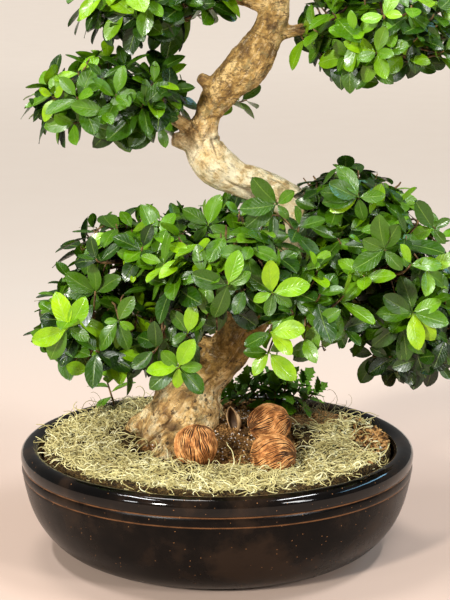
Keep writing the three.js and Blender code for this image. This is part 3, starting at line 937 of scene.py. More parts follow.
def woodMesh():  # the joined tubes, and what each point of them needs for the grain
    curve = tubeCurve("wood", wood["bevel"])
    samples = []

    def addWood(points, radii):
        addTube(curve, points, radii)
        length = 0
        for k, (point, radius) in enumerate(zip(points, radii)):
            ahead = (points[min(k + 1, len(points) - 1)] - points[max(k - 1, 0)]).normalized()
            first = (Vector((0, 1, 0.02)) - ahead * ahead.y).normalized()
            samples.append((point, radius, length, first, ahead.cross(first)))
            length += (points[min(k + 1, len(points) - 1)] - point).length

    def addTapered(points, radii):
        addWood(points, taper(len(points), *radii))

    line = smoothLine([Vector(point) * mm for point in wood["line"]], wood["steps"])
    addWood([point.to_3d() for point in line], [point.w for point in line])
    for pad in pads:
        addTapered(smoothLine(limbPoints(pad), 8), wood["limbRadius"])
    for points, radii in wood["roots"]:
        addTapered(smoothLine([Vector(point) * mm for point in points], 6), radii)
    for start, end, radii in wood["stubs"]:
        addTapered([Vector(start).lerp(Vector(end), k / 5) * mm for k in range(6)], radii)
    return curveToMesh(curve, "trunkWood"), samples


def dentAt(point, dents):  # how deep the dents go at a point, in millimetres
    total = 0
    for middle, half, deep in dents:
        total += deep * (1 - easeStep(inEllipsoid(point, middle, half).length, 0, 1.4))
    return total


def makeTrunk():
    piece, samples = woodMesh()
    applyModifier(piece, "REMESH", mode="VOXEL", voxel_size=wood["voxel"] * mm)
    applyModifier(piece, "SMOOTH", factor=0.5, iterations=6)
    tree = kdtree.KDTree(len(samples))
    for index, sample in enumerate(samples):
        tree.insert(sample[0], index)
    tree.balance()
    mesh = piece.data
    paintedHollowShade = mesh.attributes.new("paintedHollowShade", "FLOAT", "POINT")
    thin = mesh.attributes.new("thin", "FLOAT", "POINT")
    flow = mesh.attributes.new("flow", "FLOAT_VECTOR", "POINT")
    grainHeight, grainScale = wood["grain"]
    depth, furrowScale, furrowWidth = wood["furrow"]
    gapScale, gapFrom, gapTo = wood["furrowGaps"]
    calmFrom, calmOn, calmOff, calmTo, calm = wood["smoothBend"]
    moves = []
    for vertex in mesh.vertices:
        point, index, _ = tree.find(vertex.co)
        _, radius, length, first, second = samples[index]
        away = vertex.co - point
        grain = Vector((away.dot(first), away.dot(second), length * wood["stretch"]))
        share = min(radius / (18 * mm), 1)
        height = 0
        for size, scale in (wood["coarse"], wood["middle"], wood["fine"]):
            height += size * noise.noise(vertex.co * scale + Vector((scale, 0, 0)))
        height += grainHeight * noise.noise(grain * grainScale)
        bend = easeStep(vertex.co.z, calmFrom, calmOn) * (1 - easeStep(vertex.co.z, calmOff, calmTo))
        height *= 1 - calm * bend
        crease = 1 - easeStep(abs(noise.noise(grain * furrowScale + Vector((5, 0, 0)))), 0, furrowWidth)
        crease *= easeStep(noise.noise(vertex.co * gapScale + Vector((0, 9, 0))), gapFrom, gapTo)
        dent = depth * crease + dentAt(vertex.co, wood["hollows"])
        shaved = dentAt(vertex.co, wood["trims"])
        moves.append(vertex.normal * (height - dent - shaved) * share * mm)
        # Painted shade: how deep the point lies in a dent or crease
        paintedHollowShade.data[vertex.index].value = clamp((dent - 0.4 * height) / 3.0)
        thin.data[vertex.index].value = 1 - min(radius / (12 * mm), 1)
        flow.data[vertex.index].vector = grain
    for vertex, move in zip(mesh.vertices, moves):
        vertex.co += move
    smooth(piece, 180)
    dress(piece, barkFinish())
    place(piece, "bark", "trunk")


makeTrunk()
print("trunk ready")


# ---- seed balls and husk ----

seeds = {
    "segments": 300, "rings": 70,
    "balls": [  # node, radius, height share, pole axis, twist
        ("seed_1", 21, 1.0, (0.15, 0.1, 1), 0.5),
        ("seed_2", 21.5, 0.9, (1, 0.25, 0.2), 0.4),
        ("seed_3", 23, 0.86, (1, -0.3, 0.12), 0.6)],
    "colours": [(0.38, (0.30, 0.105, 0.024)), (0.5, (0.60, 0.25, 0.070)), (0.62, (0.86, 0.46, 0.17))],
    # Painted shade: the grooves and slits between the fibres are coloured near black
    "grooveShade": ((0.1, 0.75, 0, 0.97), (0.055, 0.018, 0.005)),
    "fibres": 19, "groove": 1.9, "slit": 3.2, "lump": 1.5,
    "strands": 104, "strandPoints": 17, "strandRadius": (0.36, 0.60), "proud": (0.0, 0.5),
    "ends": (0.6, 1.4),  # how far a strand goes towards each pole, in radians
    "slant": 0.05, "sway": (0.24, 1.9), "shake": (0.025, 7),  # of a strand, with their noise scales
}


def fibreFinish():
    finish, tree, shader = newFinish("fibre", 0.68, Specular_IOR_Level=0.35)
    coords = objectCoords(tree)
    colour = ramp(tree, noiseValue(tree, coords, 130, 4, 0.6), seeds["colours"])
    colour = tint(tree, colour, attribute(tree, "groove"), *seeds["grooveShade"])
    setColour(tree, shader, colour)
    setBump(tree, shader, noiseValue(tree, coords, 700, 3), 0.0007, 0.5)
    return finish


def fibreStrands(spotOn, twist, off, seed):  # loose fibres that run from pole to pole
    draw = random.Random(seed)
    curve = tubeCurve("fibres", 0)
    count = seeds["strandPoints"]
    near, far = seeds["ends"]
    for index in range(seeds["strands"]):
        start = index * golden
        low, high = draw.uniform(-far, -near), draw.uniform(near, far)
        rise, thick = draw.uniform(*seeds["proud"]), draw.uniform(*seeds["strandRadius"])
        slant = draw.gauss(0, seeds["slant"])
        points = []
        for k in range(count):
            level = low + (high - low) * k / (count - 1)
            unit = onSphere(start, math.cos(level), math.sin(level))
            turn = start - twist * unit.z + slant * level
            for size, scale in (seeds["sway"], seeds["shake"]):
                turn += size * noise.noise(unit * scale + off)
            points.append(spotOn(onSphere(turn, math.cos(level), math.sin(level)), rise))
        addTube(curve, points, [thick * mm * (0.35 + 0.65 * math.sin(math.pi * (k + 0.5) / count))
                                for k in range(count)])
    return curveToMesh(curve, "fibres")


def makeSeeds():
    finish = fibreFinish()
    for index, (name, radius, flat, axis, twist) in enumerate(seeds["balls"]):
        clearSelection()
        bpy.ops.mesh.primitive_uv_sphere_add(segments=seeds["segments"], ring_count=seeds["rings"],
                                             radius=1)
        piece = nameActive("fibreBall" + str(index + 1))
        groove = piece.data.attributes.new("groove", "FLOAT", "POINT")
        low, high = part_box(name)
        middle = (low + high) / 2
        lean = up.rotation_difference(Vector(axis).normalized()).to_matrix()
        off = Vector((index * 5, 0, 0))

        def spotOn(unit, rise):  # a point of the ball, rise above its lumpy surface
            size = radius + seeds["lump"] * noise.noise(unit * 1.7 + off) + rise
            spot = lean @ (unit * size * mm)
            spot.z *= flat
            return middle + spot

        for vertex in piece.data.vertices:
            unit = vertex.co.normalized()
            turn = math.atan2(unit.y, unit.x) + twist * unit.z
            level = max(math.sqrt(max(1 - unit.z ** 2, 0)), 0.05)
            wander = 2.6 * noise.noise(unit * 1.9 + off) + 0.4 * noise.noise(unit * 5 + off)
            line = 1 - easeStep(abs(math.sin(turn * seeds["fibres"] + wander)), 0.1, 0.8)
            line *= 0.6 + 0.4 * easeStep(noise.noise(unit * 3.3 + off), -0.3, 0.2)
            line *= min(level / 0.25, 1)
            cell = Vector((math.cos(turn) * 4.2, math.sin(turn) * 4.2, unit.z * 1.3 + index * 7))
            slit = 1 - easeStep(abs(noise.noise(cell)), 0.01, 0.09)
            slit *= easeStep(noise.noise(unit * 2.7 - off), -0.1, 0.25) * min(level / 0.35, 1)
            vertex.co = spotOn(unit, -max(line * seeds["groove"], slit * seeds["slit"]))
            # Painted shade: the groove value darkens the grooves and slits
            groove.data[vertex.index].value = min(0.62 + max(line * 0.8, slit), 1)
        piece = joined([piece, fibreStrands(spotOn, twist, off, 60 + index)], piece.name)
        smooth(piece, 180)
        dress(piece, finish)
        place(piece, "seed", name)


husk = {
    "at": (19, 2), "radius": 8, "height": 28, "sink": 4, "wall": 0.9, "lean": -0.2,
    "open": 0.36, "way": 1.36,  # share of the turn that is open, and where the shell faces, in half turns
    "colours": [(0.38, (0.16, 0.080, 0.030)), (0.5, (0.42, 0.235, 0.095)), (0.62, (0.68, 0.45, 0.22))],
    # Painted shade in the hollow inside the curled shell
    "inside": (0.05, 0.024, 0.010),
}


def huskFinish(name, share):  # share of the dark inside, painted shade in the hollow of the curl
    finish, tree, shader = newFinish(name, 0.6, Specular_IOR_Level=0.4)
    streak = noiseValue(tree, objectCoords(tree, (1, 1, 0.25)), 260, 5, 0.6)
    setColour(tree, shader, mixColour(tree, share, ramp(tree, streak, husk["colours"]), husk["inside"]))
    setBump(tree, shader, streak, 0.0008, 0.6)
    return finish


def makeHusk():
    clearSelection()
    bpy.ops.mesh.primitive_grid_add(x_subdivisions=22, y_subdivisions=22, size=1)
    piece = nameActive("curledHusk")
    x0, y0 = husk["at"]
    foot = groundAt(x0 * mm, y0 * mm) / mm - husk["sink"]
    for vertex in piece.data.vertices:
        around = (vertex.co.x * 2 * (1 - husk["open"]) + husk["way"] - 1) * math.pi
        share = vertex.co.y + 0.5
        width = husk["radius"] * math.sin(math.pi * min(share * 0.92 + 0.06, 1)) ** 0.7
        width *= 1 + 0.1 * math.sin(around * 3 + share * 4) - 0.5 * abs(vertex.co.x) ** 2
        rise = share * husk["height"]
        vertex.co = millimetres(x0 + width * math.cos(around) + husk["lean"] * rise,
                                y0 + 0.75 * width * math.sin(around), foot + rise)
    dress(piece, huskFinish("husk", 0.0), huskFinish("huskInsideShade", 0.8))
    applyModifier(piece, "SOLIDIFY", thickness=husk["wall"] * mm, offset=-1, material_offset=1)
    smooth(piece, 60)
    place(piece, "husk", "husk")


makeSeeds()
makeHusk()
print("seed balls and husk ready")


# ---- leaves ----

leaf = {
    "rowAt": [0, 0.07, 0.14, 0.25, 0.39, 0.53, 0.67, 0.81, 0.93, 1],
    "halfWidths": [0.013, 0.016, 0.076, 0.158, 0.224, 0.252, 0.246, 0.194, 0.104, 0],
    "columns": 4, "thickness": 0.011,
    "probes": [(0, 0.5, 0), (0, 1, 0), (-0.22, 0.6, 0), (0.22, 0.6, 0)],  # points tested for a clear view
    "forms": [  # fold, arch, wave and sideways bend
        (0.22, 0.10, 0.010, 0.00), (0.15, 0.20, 0.014, 0.03), (0.30, 0.05, 0.012, -0.03),
        (0.10, 0.28, 0.016, 0.02), (0.24, -0.06, 0.012, -0.02)],
    "tones": [(0, (0.002, 0.009, 0.0005)), (0.42, (0.016, 0.060, 0.0005)), (0.8, (0.082, 0.21, 0.001)),
              (1, (0.23, 0.45, 0.003))],
    "patch": ((0.35, 0.7, 0, 0.36), (0.011, 0.042, 0.001)),
    # The lime of the young leaves: partly their own colour and partly painted light shining through them
    "youngAndBacklitTones": [(0, (0.08, 0.20, 0.002)), (0.5, (0.15, 0.36, 0.003)), (1, (0.33, 0.55, 0.003))],
    "youngPatch": ((0.4, 0.65, 0, 0.45), (0.075, 0.235, 0.004)),
    "vein": ((0.75, 1, 0, 0.07), (0.19, 0.34, 0.05)), "veins": 62,
    "rib": ((0.010, 0.034, 0.36, 0), (0.30, 0.46, 0.08)), "under": (0.15, 0.27, 0.06),
    "twigColours": [(0.4, (0.05, 0.028, 0.012)), (0.5, (0.15, 0.080, 0.032)), (0.62, (0.28, 0.18, 0.07))],
}
herb = {  # the toothed blade of the ground plant
    "rowAt": [0, 0.08, 0.2, 0.27, 0.4, 0.47, 0.6, 0.67, 0.8, 0.87, 1],
    "halfWidths": [0.02, 0.04, 0.26, 0.17, 0.36, 0.22, 0.34, 0.19, 0.25, 0.12, 0],
    "columns": 2,
}


def leafForm(index, fold, arch, wave, bend, outline=leaf):  # a blade and stalk, one unit long along Y
    rows = len(outline["rowAt"]) - 1
    clearSelection()
    bpy.ops.mesh.primitive_grid_add(x_subdivisions=outline["columns"], y_subdivisions=rows, size=1)
    form = nameActive("leafForm")
    form.data.materials.append(None)
    form.data.materials.append(None)
    sides = {}
    for vertex in form.data.vertices:
        side = 2 * vertex.co.x
        row = round((vertex.co.y + 0.5) * rows)
        sides[vertex.index] = abs(side) > 0.99 or row in (0, rows)
        share, half = outline["rowAt"][row], outline["halfWidths"][row]
        width = side * half
        rise = fold * abs(width) - arch * share * share + wave * math.sin(7 * share + 2 * side + index)
        vertex.co = (width + bend * math.sin(math.pi * share), share, rise)
    bpy.ops.object.mode_set(mode="EDIT")
    bpy.ops.mesh.select_all(action="SELECT")
    bpy.ops.mesh.duplicate()
    bpy.ops.mesh.flip_normals()
    form.active_material_index = 1
    bpy.ops.object.material_slot_assign()
    bpy.ops.object.mode_set(mode="OBJECT")
    count = len(sides)
    for vertex in form.data.vertices:
        if vertex.index >= count and not sides[vertex.index - count]:
            vertex.co.z -= leaf["thickness"]
    weld(form, 1e-4)
    return readAway(form)


def leafFinish(name, isUnder=False, isHerb=False):
    dull = isUnder or isHerb
    finish, tree, shader = newFinish(name, 0.55 if dull else 0.3,
                                     Specular_IOR_Level=0.25 if dull else 0.50,
                                     Coat_Weight=0.0 if dull else 0.08, Coat_Roughness=0.2)
    flat = node(tree, "UVMap", uv_map="UVMap").outputs["UV"]
    side = maths(tree, "ABSOLUTE", minus(tree, partOf(tree, flat, "X"), 0.5))
    patchy = noiseValue(tree, objectCoords(tree), 75, 4)
    youth = attribute(tree, "youth")
    old = ramp(tree, attribute(tree, "tone"), leaf["tones"])
    old = tint(tree, old, patchy, *leaf["patch"])
    young = ramp(tree, youth, leaf["youngAndBacklitTones"])
    young = tint(tree, young, patchy, *leaf["youngPatch"])
    colour = tint(tree, old, youth, (0.05, 0.6), young)
    along = minus(tree, partOf(tree, flat, "Y"), times(tree, side, 0.45))
    veins = maths(tree, "SINE", times(tree, along, leaf["veins"]))
    colour = tint(tree, colour, veins, *leaf["vein"])
    colour = tint(tree, colour, side, *leaf["rib"])
    if isUnder:
        colour = mixColour(tree, 0.4, colour, leaf["under"])
    setColour(tree, shader, colour)
    if not dull:
        gloss = noiseValue(tree, objectCoords(tree), 210, 4)
        setRoughness(tree, shader, limits(tree, gloss, 0.35, 0.65, 0.2, 0.42))
    raised, groove = limits(tree, veins, 0.4, 1, 0, 0.35), limits(tree, side, 0, 0.06, 1, 0)
    setBump(tree, shader, minus(tree, raised, groove), 0.0005, 0.5)
    return finish


leafForms = [leafForm(index, *values) for index, values in enumerate(leaf["forms"])]
herbForms = [leafForm(index, *values, herb) for index, values in enumerate(leaf["forms"])]
twigFinish = speckledFinish("twigBark", 0.7, 0.35, (200, 4), leaf["twigColours"], (0.0005, 0.6))
leafFinishes = [leafFinish("leafTop"), leafFinish("leafUnder", isUnder=True), twigFinish]
herbFinishes = [leafFinish("herbTop", isHerb=True), *leafFinishes[1:]]

foliage = {
    "spacing": 35,  # of the shoot tips that the rule sets over a pad
    "fill": 0.87, "loose": 0.12, "upward": 0.6,  # how far out they lie, its play, their turn upwards
    "inside": 0.60, "underneath": -0.86,  # none this deep in another pad, or this low on their own
    "leaves": (5, 8), "length": (33, 46), "reach": 15,  # of a rosette; its oldest leaf starts farthest back
    "tone": (0.05, 0.92), "youth": (-0.12, 0.22),  # ends of the tone, middle and play of the youth
    "droop": 0.12, "shorter": 0.38, "uneven": (0.86, 1.1),  # of old leaves, of young ones, and of all
    "pitch": (42, 100),  # degrees from the way it faces, for its youngest and its oldest leaf
    "light": 0.40, "front": 0.35,  # how far the blades turn up, and those in front to the viewer
    "twig": (1.5, 0.8), "leafStart": 0.45, "neck": 9,  # twigs leave a limb past this share of it
    # The tips of the solid sprays: how far out, turn upwards, play, place in each sector, and seed
    "cadFill": 0.76, "cadUpward": 0.75, "sway": 0.2, "tilt": 0.28,
    "cadTips": [(0.28, 0.62), (0.78, -0.18)], "draws": (3, 11, 2.3),
    "surface": 0.9, "tipRise": 30,  # how far out photo tips lie, and how high their twigs arch
    "shade": ((0.12, 0.19), (0.22, 0.30), 0.8),  # painted shade: darker past this x, under this z, in metres; how much
    "edge": 0.024,  # how far leaves may stand out of the solid's box, as a share of its size
    "apart": 24, "cadApart": 20,  # least distance of the other tips from the photo tips
    "nearer": 10, "guard": 7.5,  # how far full rosettes stand forward, and pixels kept free before them
    "longest": 37, "fullTone": (0.34, 0.60),  # of their leaves, and the tones from dark to light
    "lean": (-0.42, 0.02),  # how far their leaves point to the viewer, as a share of their length
    "behindTrunk": 0.02,  # metres; only leaves nearer than this are cleared off the trunk
}
# Tips by pad: pixel in the photo, leaves, their length, and youth from dark to lime
brightTips = {
    "lower_left": [(88, 372, 4, 33, 0.55), (168, 340, 6, 34, 0), (155, 352, 5, 32, 0.1),
        (150, 341, 6, 34, 0)],
    "mid_left": [(134, 274, 3, 20, 1.0), (80, 246, 3, 29, 0.6)],
    "front": [(214, 300, 6, 34, 0), (204, 322, 6, 36, 0), (228, 312, 6, 36, 0), (190, 338, 6, 34, 0),
        (176, 322, 6, 34, 0), (216, 332, 5, 32, 0), (152, 352, 5, 34, 0), (240, 214, 5, 34, 0),
        (300, 226, 6, 36, 0), (250, 246, 6, 36, 0)],
    "front_right": [(326, 350, 5, 34, 0), (345, 330, 6, 34, 0), (305, 338, 6, 36, 0),
        (318, 322, 5, 34, 0)],
    "lower_right": [(372, 356, 6, 36, 0), (396, 376, 5, 36, 0), (446, 300, 6, 36, 0),
        (448, 340, 6, 36, 0), (446, 262, 6, 36, 0), (438, 364, 5, 34, 0)],
    "right": [(340, 300, 6, 34, 0), (436, 250, 6, 34, 0), (440, 236, 5, 32, 0.3),
        (430, 268, 6, 36, 0)],
    "high_left": [(52, 96, 5, 30, 0.7), (78, 70, 4, 30, 0.6), (185, 100, 6, 36, 0),
        (160, 126, 5, 38, 0)],
    "high_right": [(384, 14, 5, 36, 0.5), (300, 36, 5, 36, 0), (345, 84, 6, 34, 0)],
    "back_left": [(206, 336, 6, 36, 0), (190, 346, 5, 34, 0)],
}
# Rosettes in full view, by pad: pixel of the hub, and each leaf's tip pixel, tone and youth
fullRosettes = {
    "front": [
        ((179, 365), [(147, 368, 0.9, 0.75), (194, 337, 0.9, 0.7), (202, 367, 0.75, 0.25),
            (177, 390, 0.9, 0.85), (161, 348, 0.75, 0.3), (202, 396, 0.3, 0), (148, 390, 0.35, 0)]),
        ((188, 331), [(192, 303, 0.9, 0.75), (171, 311, 0.4, 0), (205, 318, 0.5, 0.1),
            (172, 342, 0.45, 0)]),
        ((272, 291), [(268, 256, 0.9, 0.9), (312, 283, 0.9, 0.65), (253, 302, 0.85, 0.6),
            (292, 306, 0.5, 0), (268, 318, 0.45, 0), (250, 276, 0.35, 0)]),
        ((228, 283), [(187, 272, 0.25, 0), (239, 250, 0.85, 0.55), (217, 322, 0.3, 0),
            (250, 272, 0.6, 0.1)]),
        ((277, 203), [(248, 171, 0.4, 0), (232, 207, 0.3, 0), (295, 190, 0.6, 0.1),
            (289, 218, 0.45, 0), (245, 228, 0.25, 0)])],
    "front_right": [
        ((270, 330), [(308, 326, 0.9, 0.8), (292, 354, 0.95, 0.95), (244, 346, 0.3, 0)]),
        ((269, 350), [(252, 373, 0.9, 0.75), (301, 383, 0.95, 0.8), (243, 352, 0.4, 0),
            (288, 340, 0.6, 0.2)])],
    "lower_left": [
        ((68, 327), [(56, 284, 0.9, 0.95), (29, 341, 0.9, 0.85), (86, 298, 0.85, 0.6),
            (48, 362, 0.6, 0.1), (90, 340, 0.5, 0)]),
        ((119, 319), [(134, 295, 0.6, 0.1), (97, 347, 0.5, 0), (134, 330, 0.85, 0.5),
            (104, 322, 0.7, 0.3), (130, 350, 0.4, 0)])],
    "mid_left": [
        ((97, 291), [(92, 264, 0.6, 0.1), (121, 274, 0.45, 0), (66, 272, 0.5, 0), (66, 292, 0.3, 0),
            (95, 312, 0.4, 0)]),
        ((208, 224), [(220, 194, 0.85, 0.45), (185, 207, 0.5, 0), (234, 234, 0.55, 0.1),
            (194, 239, 0.5, 0), (189, 223, 0.35, 0)])],
    "shoulder": [
        ((358, 196), [(339, 162, 0.6, 0.1), (315, 176, 0.35, 0), (314, 187, 0.3, 0),
            (384, 194, 0.55, 0), (314, 201, 0.3, 0), (331, 209, 0.9, 0.95), (365, 222, 0.45, 0)])],
    "right": [
        ((433, 227), [(411, 196, 0.25, 0), (406, 238, 0.85, 0.45), (450, 219, 0.4, 0),
            (446, 244, 0.4, 0)]),
        ((384, 248), [(377, 211, 0.45, 0), (398, 221, 0.4, 0), (401, 268, 0.4, 0), (361, 237, 0.5, 0),
            (352, 268, 0.4, 0)]),
        ((412, 311), [(449, 322, 0.6, 0), (334, 310, 0.5, 0), (420, 347, 0.95, 0.95),
            (436, 342, 0.95, 0.9), (404, 318, 0.9, 0.8), (366, 286, 0.25, 0), (400, 275, 0.3, 0),
            (438, 300, 0.8, 0.4)]),
        ((402, 322), [(402, 370, 0.2, 0), (350, 364, 0.25, 0), (414, 383, 0.25, 0),
            (432, 366, 0.4, 0)])],
}
# Where the photo shows bare trunk (only leaves in front of it are cleared) or open air
trunkWindows = [
    [(258, 0), (292, 0), (290, 30), (276, 68), (262, 80), (240, 95), (221, 110), (216, 125),
     (222, 138), (238, 158), (246, 165), (243, 176), (236, 190), (220, 190), (205, 182), (188, 166),
     (181, 148), (187, 128), (196, 112), (198, 80), (216, 66), (235, 48), (250, 30)],
    [(205, 338), (236, 322), (252, 345), (250, 364), (236, 378), (224, 390), (222, 428),
     (126, 442), (128, 408), (150, 392), (172, 390), (202, 400), (206, 372)],
]
airWindows = [
    [(-200, 152), (60, 148), (120, 153), (174, 150), (180, 158), (160, 176), (150, 199), (105, 207),
     (82, 212), (60, 248), (-200, 250)],
    [(226, 116), (262, 88), (278, 73), (300, 70), (326, 70), (336, 100), (354, 102), (374, 86),
     (404, 80), (620, 76), (620, 205), (450, 206), (414, 186), (380, 170), (345, 157), (322, 172),
     (300, 183), (262, 164), (240, 150), (226, 138)],
    [(180, 30), (206, 24), (232, 22), (248, 34), (232, 50), (214, 64), (200, 68), (190, 46)],
    [(-200, -10), (54, -10), (58, 20), (72, 40), (58, 54), (40, 64), (24, 86), (-200, 110)],
    [(254, 376), (286, 392), (312, 368), (330, 352), (346, 376), (372, 394), (420, 392),
     (620, 372), (620, 560), (254, 560)],
    [(-200, 352), (32, 347), (56, 366), (78, 402), (104, 380), (116, 398), (116, 440), (-200, 440)],
]


def isInside(x, y, outline):
    inside = False
    for (x1, y1), (x2, y2) in zip(outline, outline[1:] + outline[:1]):
        if (y1 > y) != (y2 > y) and x < x1 + (y - y1) / (y2 - y1) * (x2 - x1):
            inside = not inside
    return inside


fullLeaves = []  # two pixels of each leaf that has to stay in view, and how far back it is


def isBefore(points):  # the leaf would hide one of them
    for point in points:
        x, y = pixelOf(point)
        for x0, y0, front in fullLeaves:
            if point.y < front and (x - x0) ** 2 + (y - y0) ** 2 < foliage["guard"] ** 2:
                return True
    return False


def addFullRosette(copies, hub, leaves, draw):
    px, py = pixelOf(hub)
    scale = (hub - cameraPlace).length / focal
    dark, light = foliage["fullTone"]
    for k, (x, y, tone, youth) in enumerate(leaves):
        dx, dy = (x - px) * scale, (py - y) * scale
        size = math.hypot(dx, dy)
        along = Vector((dx, draw.uniform(*foliage["lean"]) * size, dy))
        above = Vector((draw.uniform(-0.5, 0.5), -1, 0.4 + draw.uniform(-0.3, 0.3)))
        length = min(along.length, foliage["longest"] * mm)
        matrix = basis(along, above, hub + Vector((0, 0.0008 * k, 0)), length)
        values = {"tone": dark + light * tone, "youth": youth}
        copies.append((draw.randrange(len(leafForms)), matrix, values))
    return len(leaves)


def isClear(points):  # none of a leaf's points shows in a window, and all stay in the box
    low, high = cadBox
    margin = (high - low) * foliage["edge"]
    for point in points:
        if any(not low[k] - margin[k] < point[k] < high[k] + margin[k] for k in range(3)):
            return False
        x, y = pixelOf(point)
        if any(isInside(x, y, outline) for outline in airWindows):
            return False
        isNear = point.y < foliage["behindTrunk"]
        if isNear and any(isInside(x, y, outline) for outline in trunkWindows):
            return False
    return True


def drawn(seed):  # the part's own seeded draw, from 0 to 1
    value = math.sin(seed * 12.9898 + 4.1) * 43758.5453
    return value - math.floor(value)


def spread(seed, size):
    return (2 * drawn(seed) - 1) * size


def cadTip(padIndex, pad, spray, tip):  # where the solid spray has a rosette
    first, perPad, perSpray = foliage["draws"]
    seed = first + padIndex * perPad + spray * perSpray
    sector = 2 * math.pi / pad[4]
    share, high = foliage["cadTips"][tip]
    angle = sector * (spray + share) + math.radians(pad[5]) + spread(seed + spray, foliage["sway"])
    high += spread(seed + spray * 2 + tip, foliage["tilt"])
    return onSphere(angle, math.sqrt(1 - high * high), high)


def inPad(point, pad):  # 1 long on the pad's ellipsoid
    return inEllipsoid(point, pad[1], pad[2])


def onPad(pad, direction, fill):  # a point of the pad's ellipsoid, at a share of its size
    stretched = Vector([direction[k] * pad[2][k] for k in range(3)])
    return (Vector(pad[1]) + stretched * fill) * mm


def padHit(pad, px, py):  # where a pixel's ray meets the front of a pad
    ray = pixelRay(px, py)
    half = Vector(pad[2]) * mm * foliage["surface"]
    start = Vector([(cameraPlace[k] - pad[1][k] * mm) / half[k] for k in range(3)])
    step = Vector([ray[k] / half[k] for k in range(3)])
    a, b, c = step.dot(step), step.dot(start), start.dot(start) - 1
    root = b * b - a * c
    reach = (-b - math.sqrt(root)) / a if root > 0 else -b / a
    return cameraPlace + ray * reach


def fullHub(pad, px, py):  # place of a rosette in full view, and its direction in the pad
    point = padHit(pad, px, py) - Vector((0, foliage["nearer"] * mm, 0))
    return point, inPad(point, pad).normalized()


def ellipsoidArea(x, y, z):  # nearly, from its half sizes
    power = 1.6
    parts = [part ** power for part in (x * y, x * z, y * z)]
    return 4 * math.pi * (sum(parts) / 3) ** (1 / power)


def padHubs(padIndex, pad, draw):  # (place, facing, kind) of each shoot tip, by spray
    name, _, half, _, sprays, turn = pad
    hubs = [[] for _ in range(sprays)]
    taken = []

    def addHub(point, direction, facing, kind):
        hubs[sprayOf(direction, sprays, math.radians(turn))].append((point, facing, kind))

    for px, py, count, length, youth in brightTips.get(name, []):
        point = padHit(pad, px, py)
        direction = inPad(point, pad).normalized()
        taken.append(point)
        addHub(point, direction, (direction + Vector((0, -0.9, 0.5))).normalized(), (count, length, youth))
    for (px, py), leaves in fullRosettes.get(name, []):
        point, direction = fullHub(pad, px, py)
        taken.append(point)
        addHub(point, direction, Vector((0, -1, 0)), leaves)
    for spray in range(sprays):
        for tip in (0, 1):
            direction = cadTip(padIndex, pad, spray, tip)
            point = onPad(pad, direction, foliage["cadFill"])
            if all((point - other).length > foliage["cadApart"] * mm for other in taken):
                facing = (direction + up * foliage["cadUpward"]).normalized()
                hubs[spray].append((point, facing, None))
    count = round(ellipsoidArea(*half) / foliage["spacing"] ** 2)
    for index in range(count):
        high = 1 - 2 * (index + 0.5) / count
        direction = onSphere(index * golden + padIndex, math.sqrt(1 - high * high), high)
        direction = (direction + Vector([draw.gauss(0, 0.09) for _ in range(3)])).normalized()
        point = onPad(pad, direction, foliage["fill"] + draw.uniform(-1, 1) * foliage["loose"])
        isBuried = any(inPad(point, other).length < foliage["inside"] for other in pads if other is not pad)
        isTaken = any((point - other).length < foliage["apart"] * mm for other in taken)
        if direction.z > foliage["underneath"] and not isBuried and not isTaken:
            addHub(point, direction, (direction + up * foliage["upward"]).normalized(), None)
    return hubs


def sprayOf(direction, sprays, turn):
    angle = (math.atan2(direction.y, direction.x) - turn) % (2 * math.pi)
    return min(int(angle / (2 * math.pi) * sprays), sprays - 1)


def outward(facing, angle, pitch):  # a direction round the shoot, tilted away from the way it faces
    side = across(facing)
    away = side * math.cos(angle) + facing.cross(side) * math.sin(angle)
    return facing * math.cos(pitch) + away * math.sin(pitch)


def addRosette(copies, hub, facing, kind, draw):
    count, length, youth = kind or (draw.randint(*foliage["leaves"]), draw.uniform(*foliage["length"]),
                                    max(draw.gauss(*foliage["youth"]), 0))
    # Painted shade: shoots that face downwards get darker leaves
    tone = draw.uniform(*foliage["tone"]) * (0.5 + 0.5 * easeStep(facing.z, -0.5, 0.45))
    beyond, below, dimmed = foliage["shade"]
    tone *= 1 - dimmed * easeStep(hub.x, *beyond) * (1 - easeStep(hub.z, *below))  # painted shade, low at the right
    start = draw.uniform(0, 2 * math.pi)
    low, high = foliage["pitch"]
    added = 0
    for k in range(count):
        share = k / max(count - 1, 1)  # 0 is the oldest, outermost leaf
        pitch = math.radians(high + (low - high) * share ** 1.3 + draw.uniform(-12, 12))
        along = outward(facing, start + k * golden, pitch)
        along = (along + Vector((0, 0, -foliage["droop"])) * (1 - share)).normalized()
        above = facing + up * foliage["light"] + Vector([draw.uniform(-0.25, 0.25) for _ in range(3)])
        above.y -= foliage["front"] * easeStep(-hub.y, -0.04, 0.04)
        size = length * mm * (1 - foliage["shorter"] * share ** 2) * draw.uniform(*foliage["uneven"])
        matrix = basis(along, above, hub - facing * foliage["reach"] * mm * (1 - share), size)
        points = [matrix @ Vector(spot) for spot in leaf["probes"]]
        if isClear(points) and not isBefore(points):
            fresh = min(youth * easeStep(share, -0.1, 0.45) * 1.15 + 0.12 * share ** 4, 1)
            shade = clamp(tone + draw.uniform(-0.18, 0.18) + 0.15 * share)
            copies.append((draw.randrange(len(leafForms)), matrix, {"tone": shade, "youth": fresh}))
            added += 1
    return added


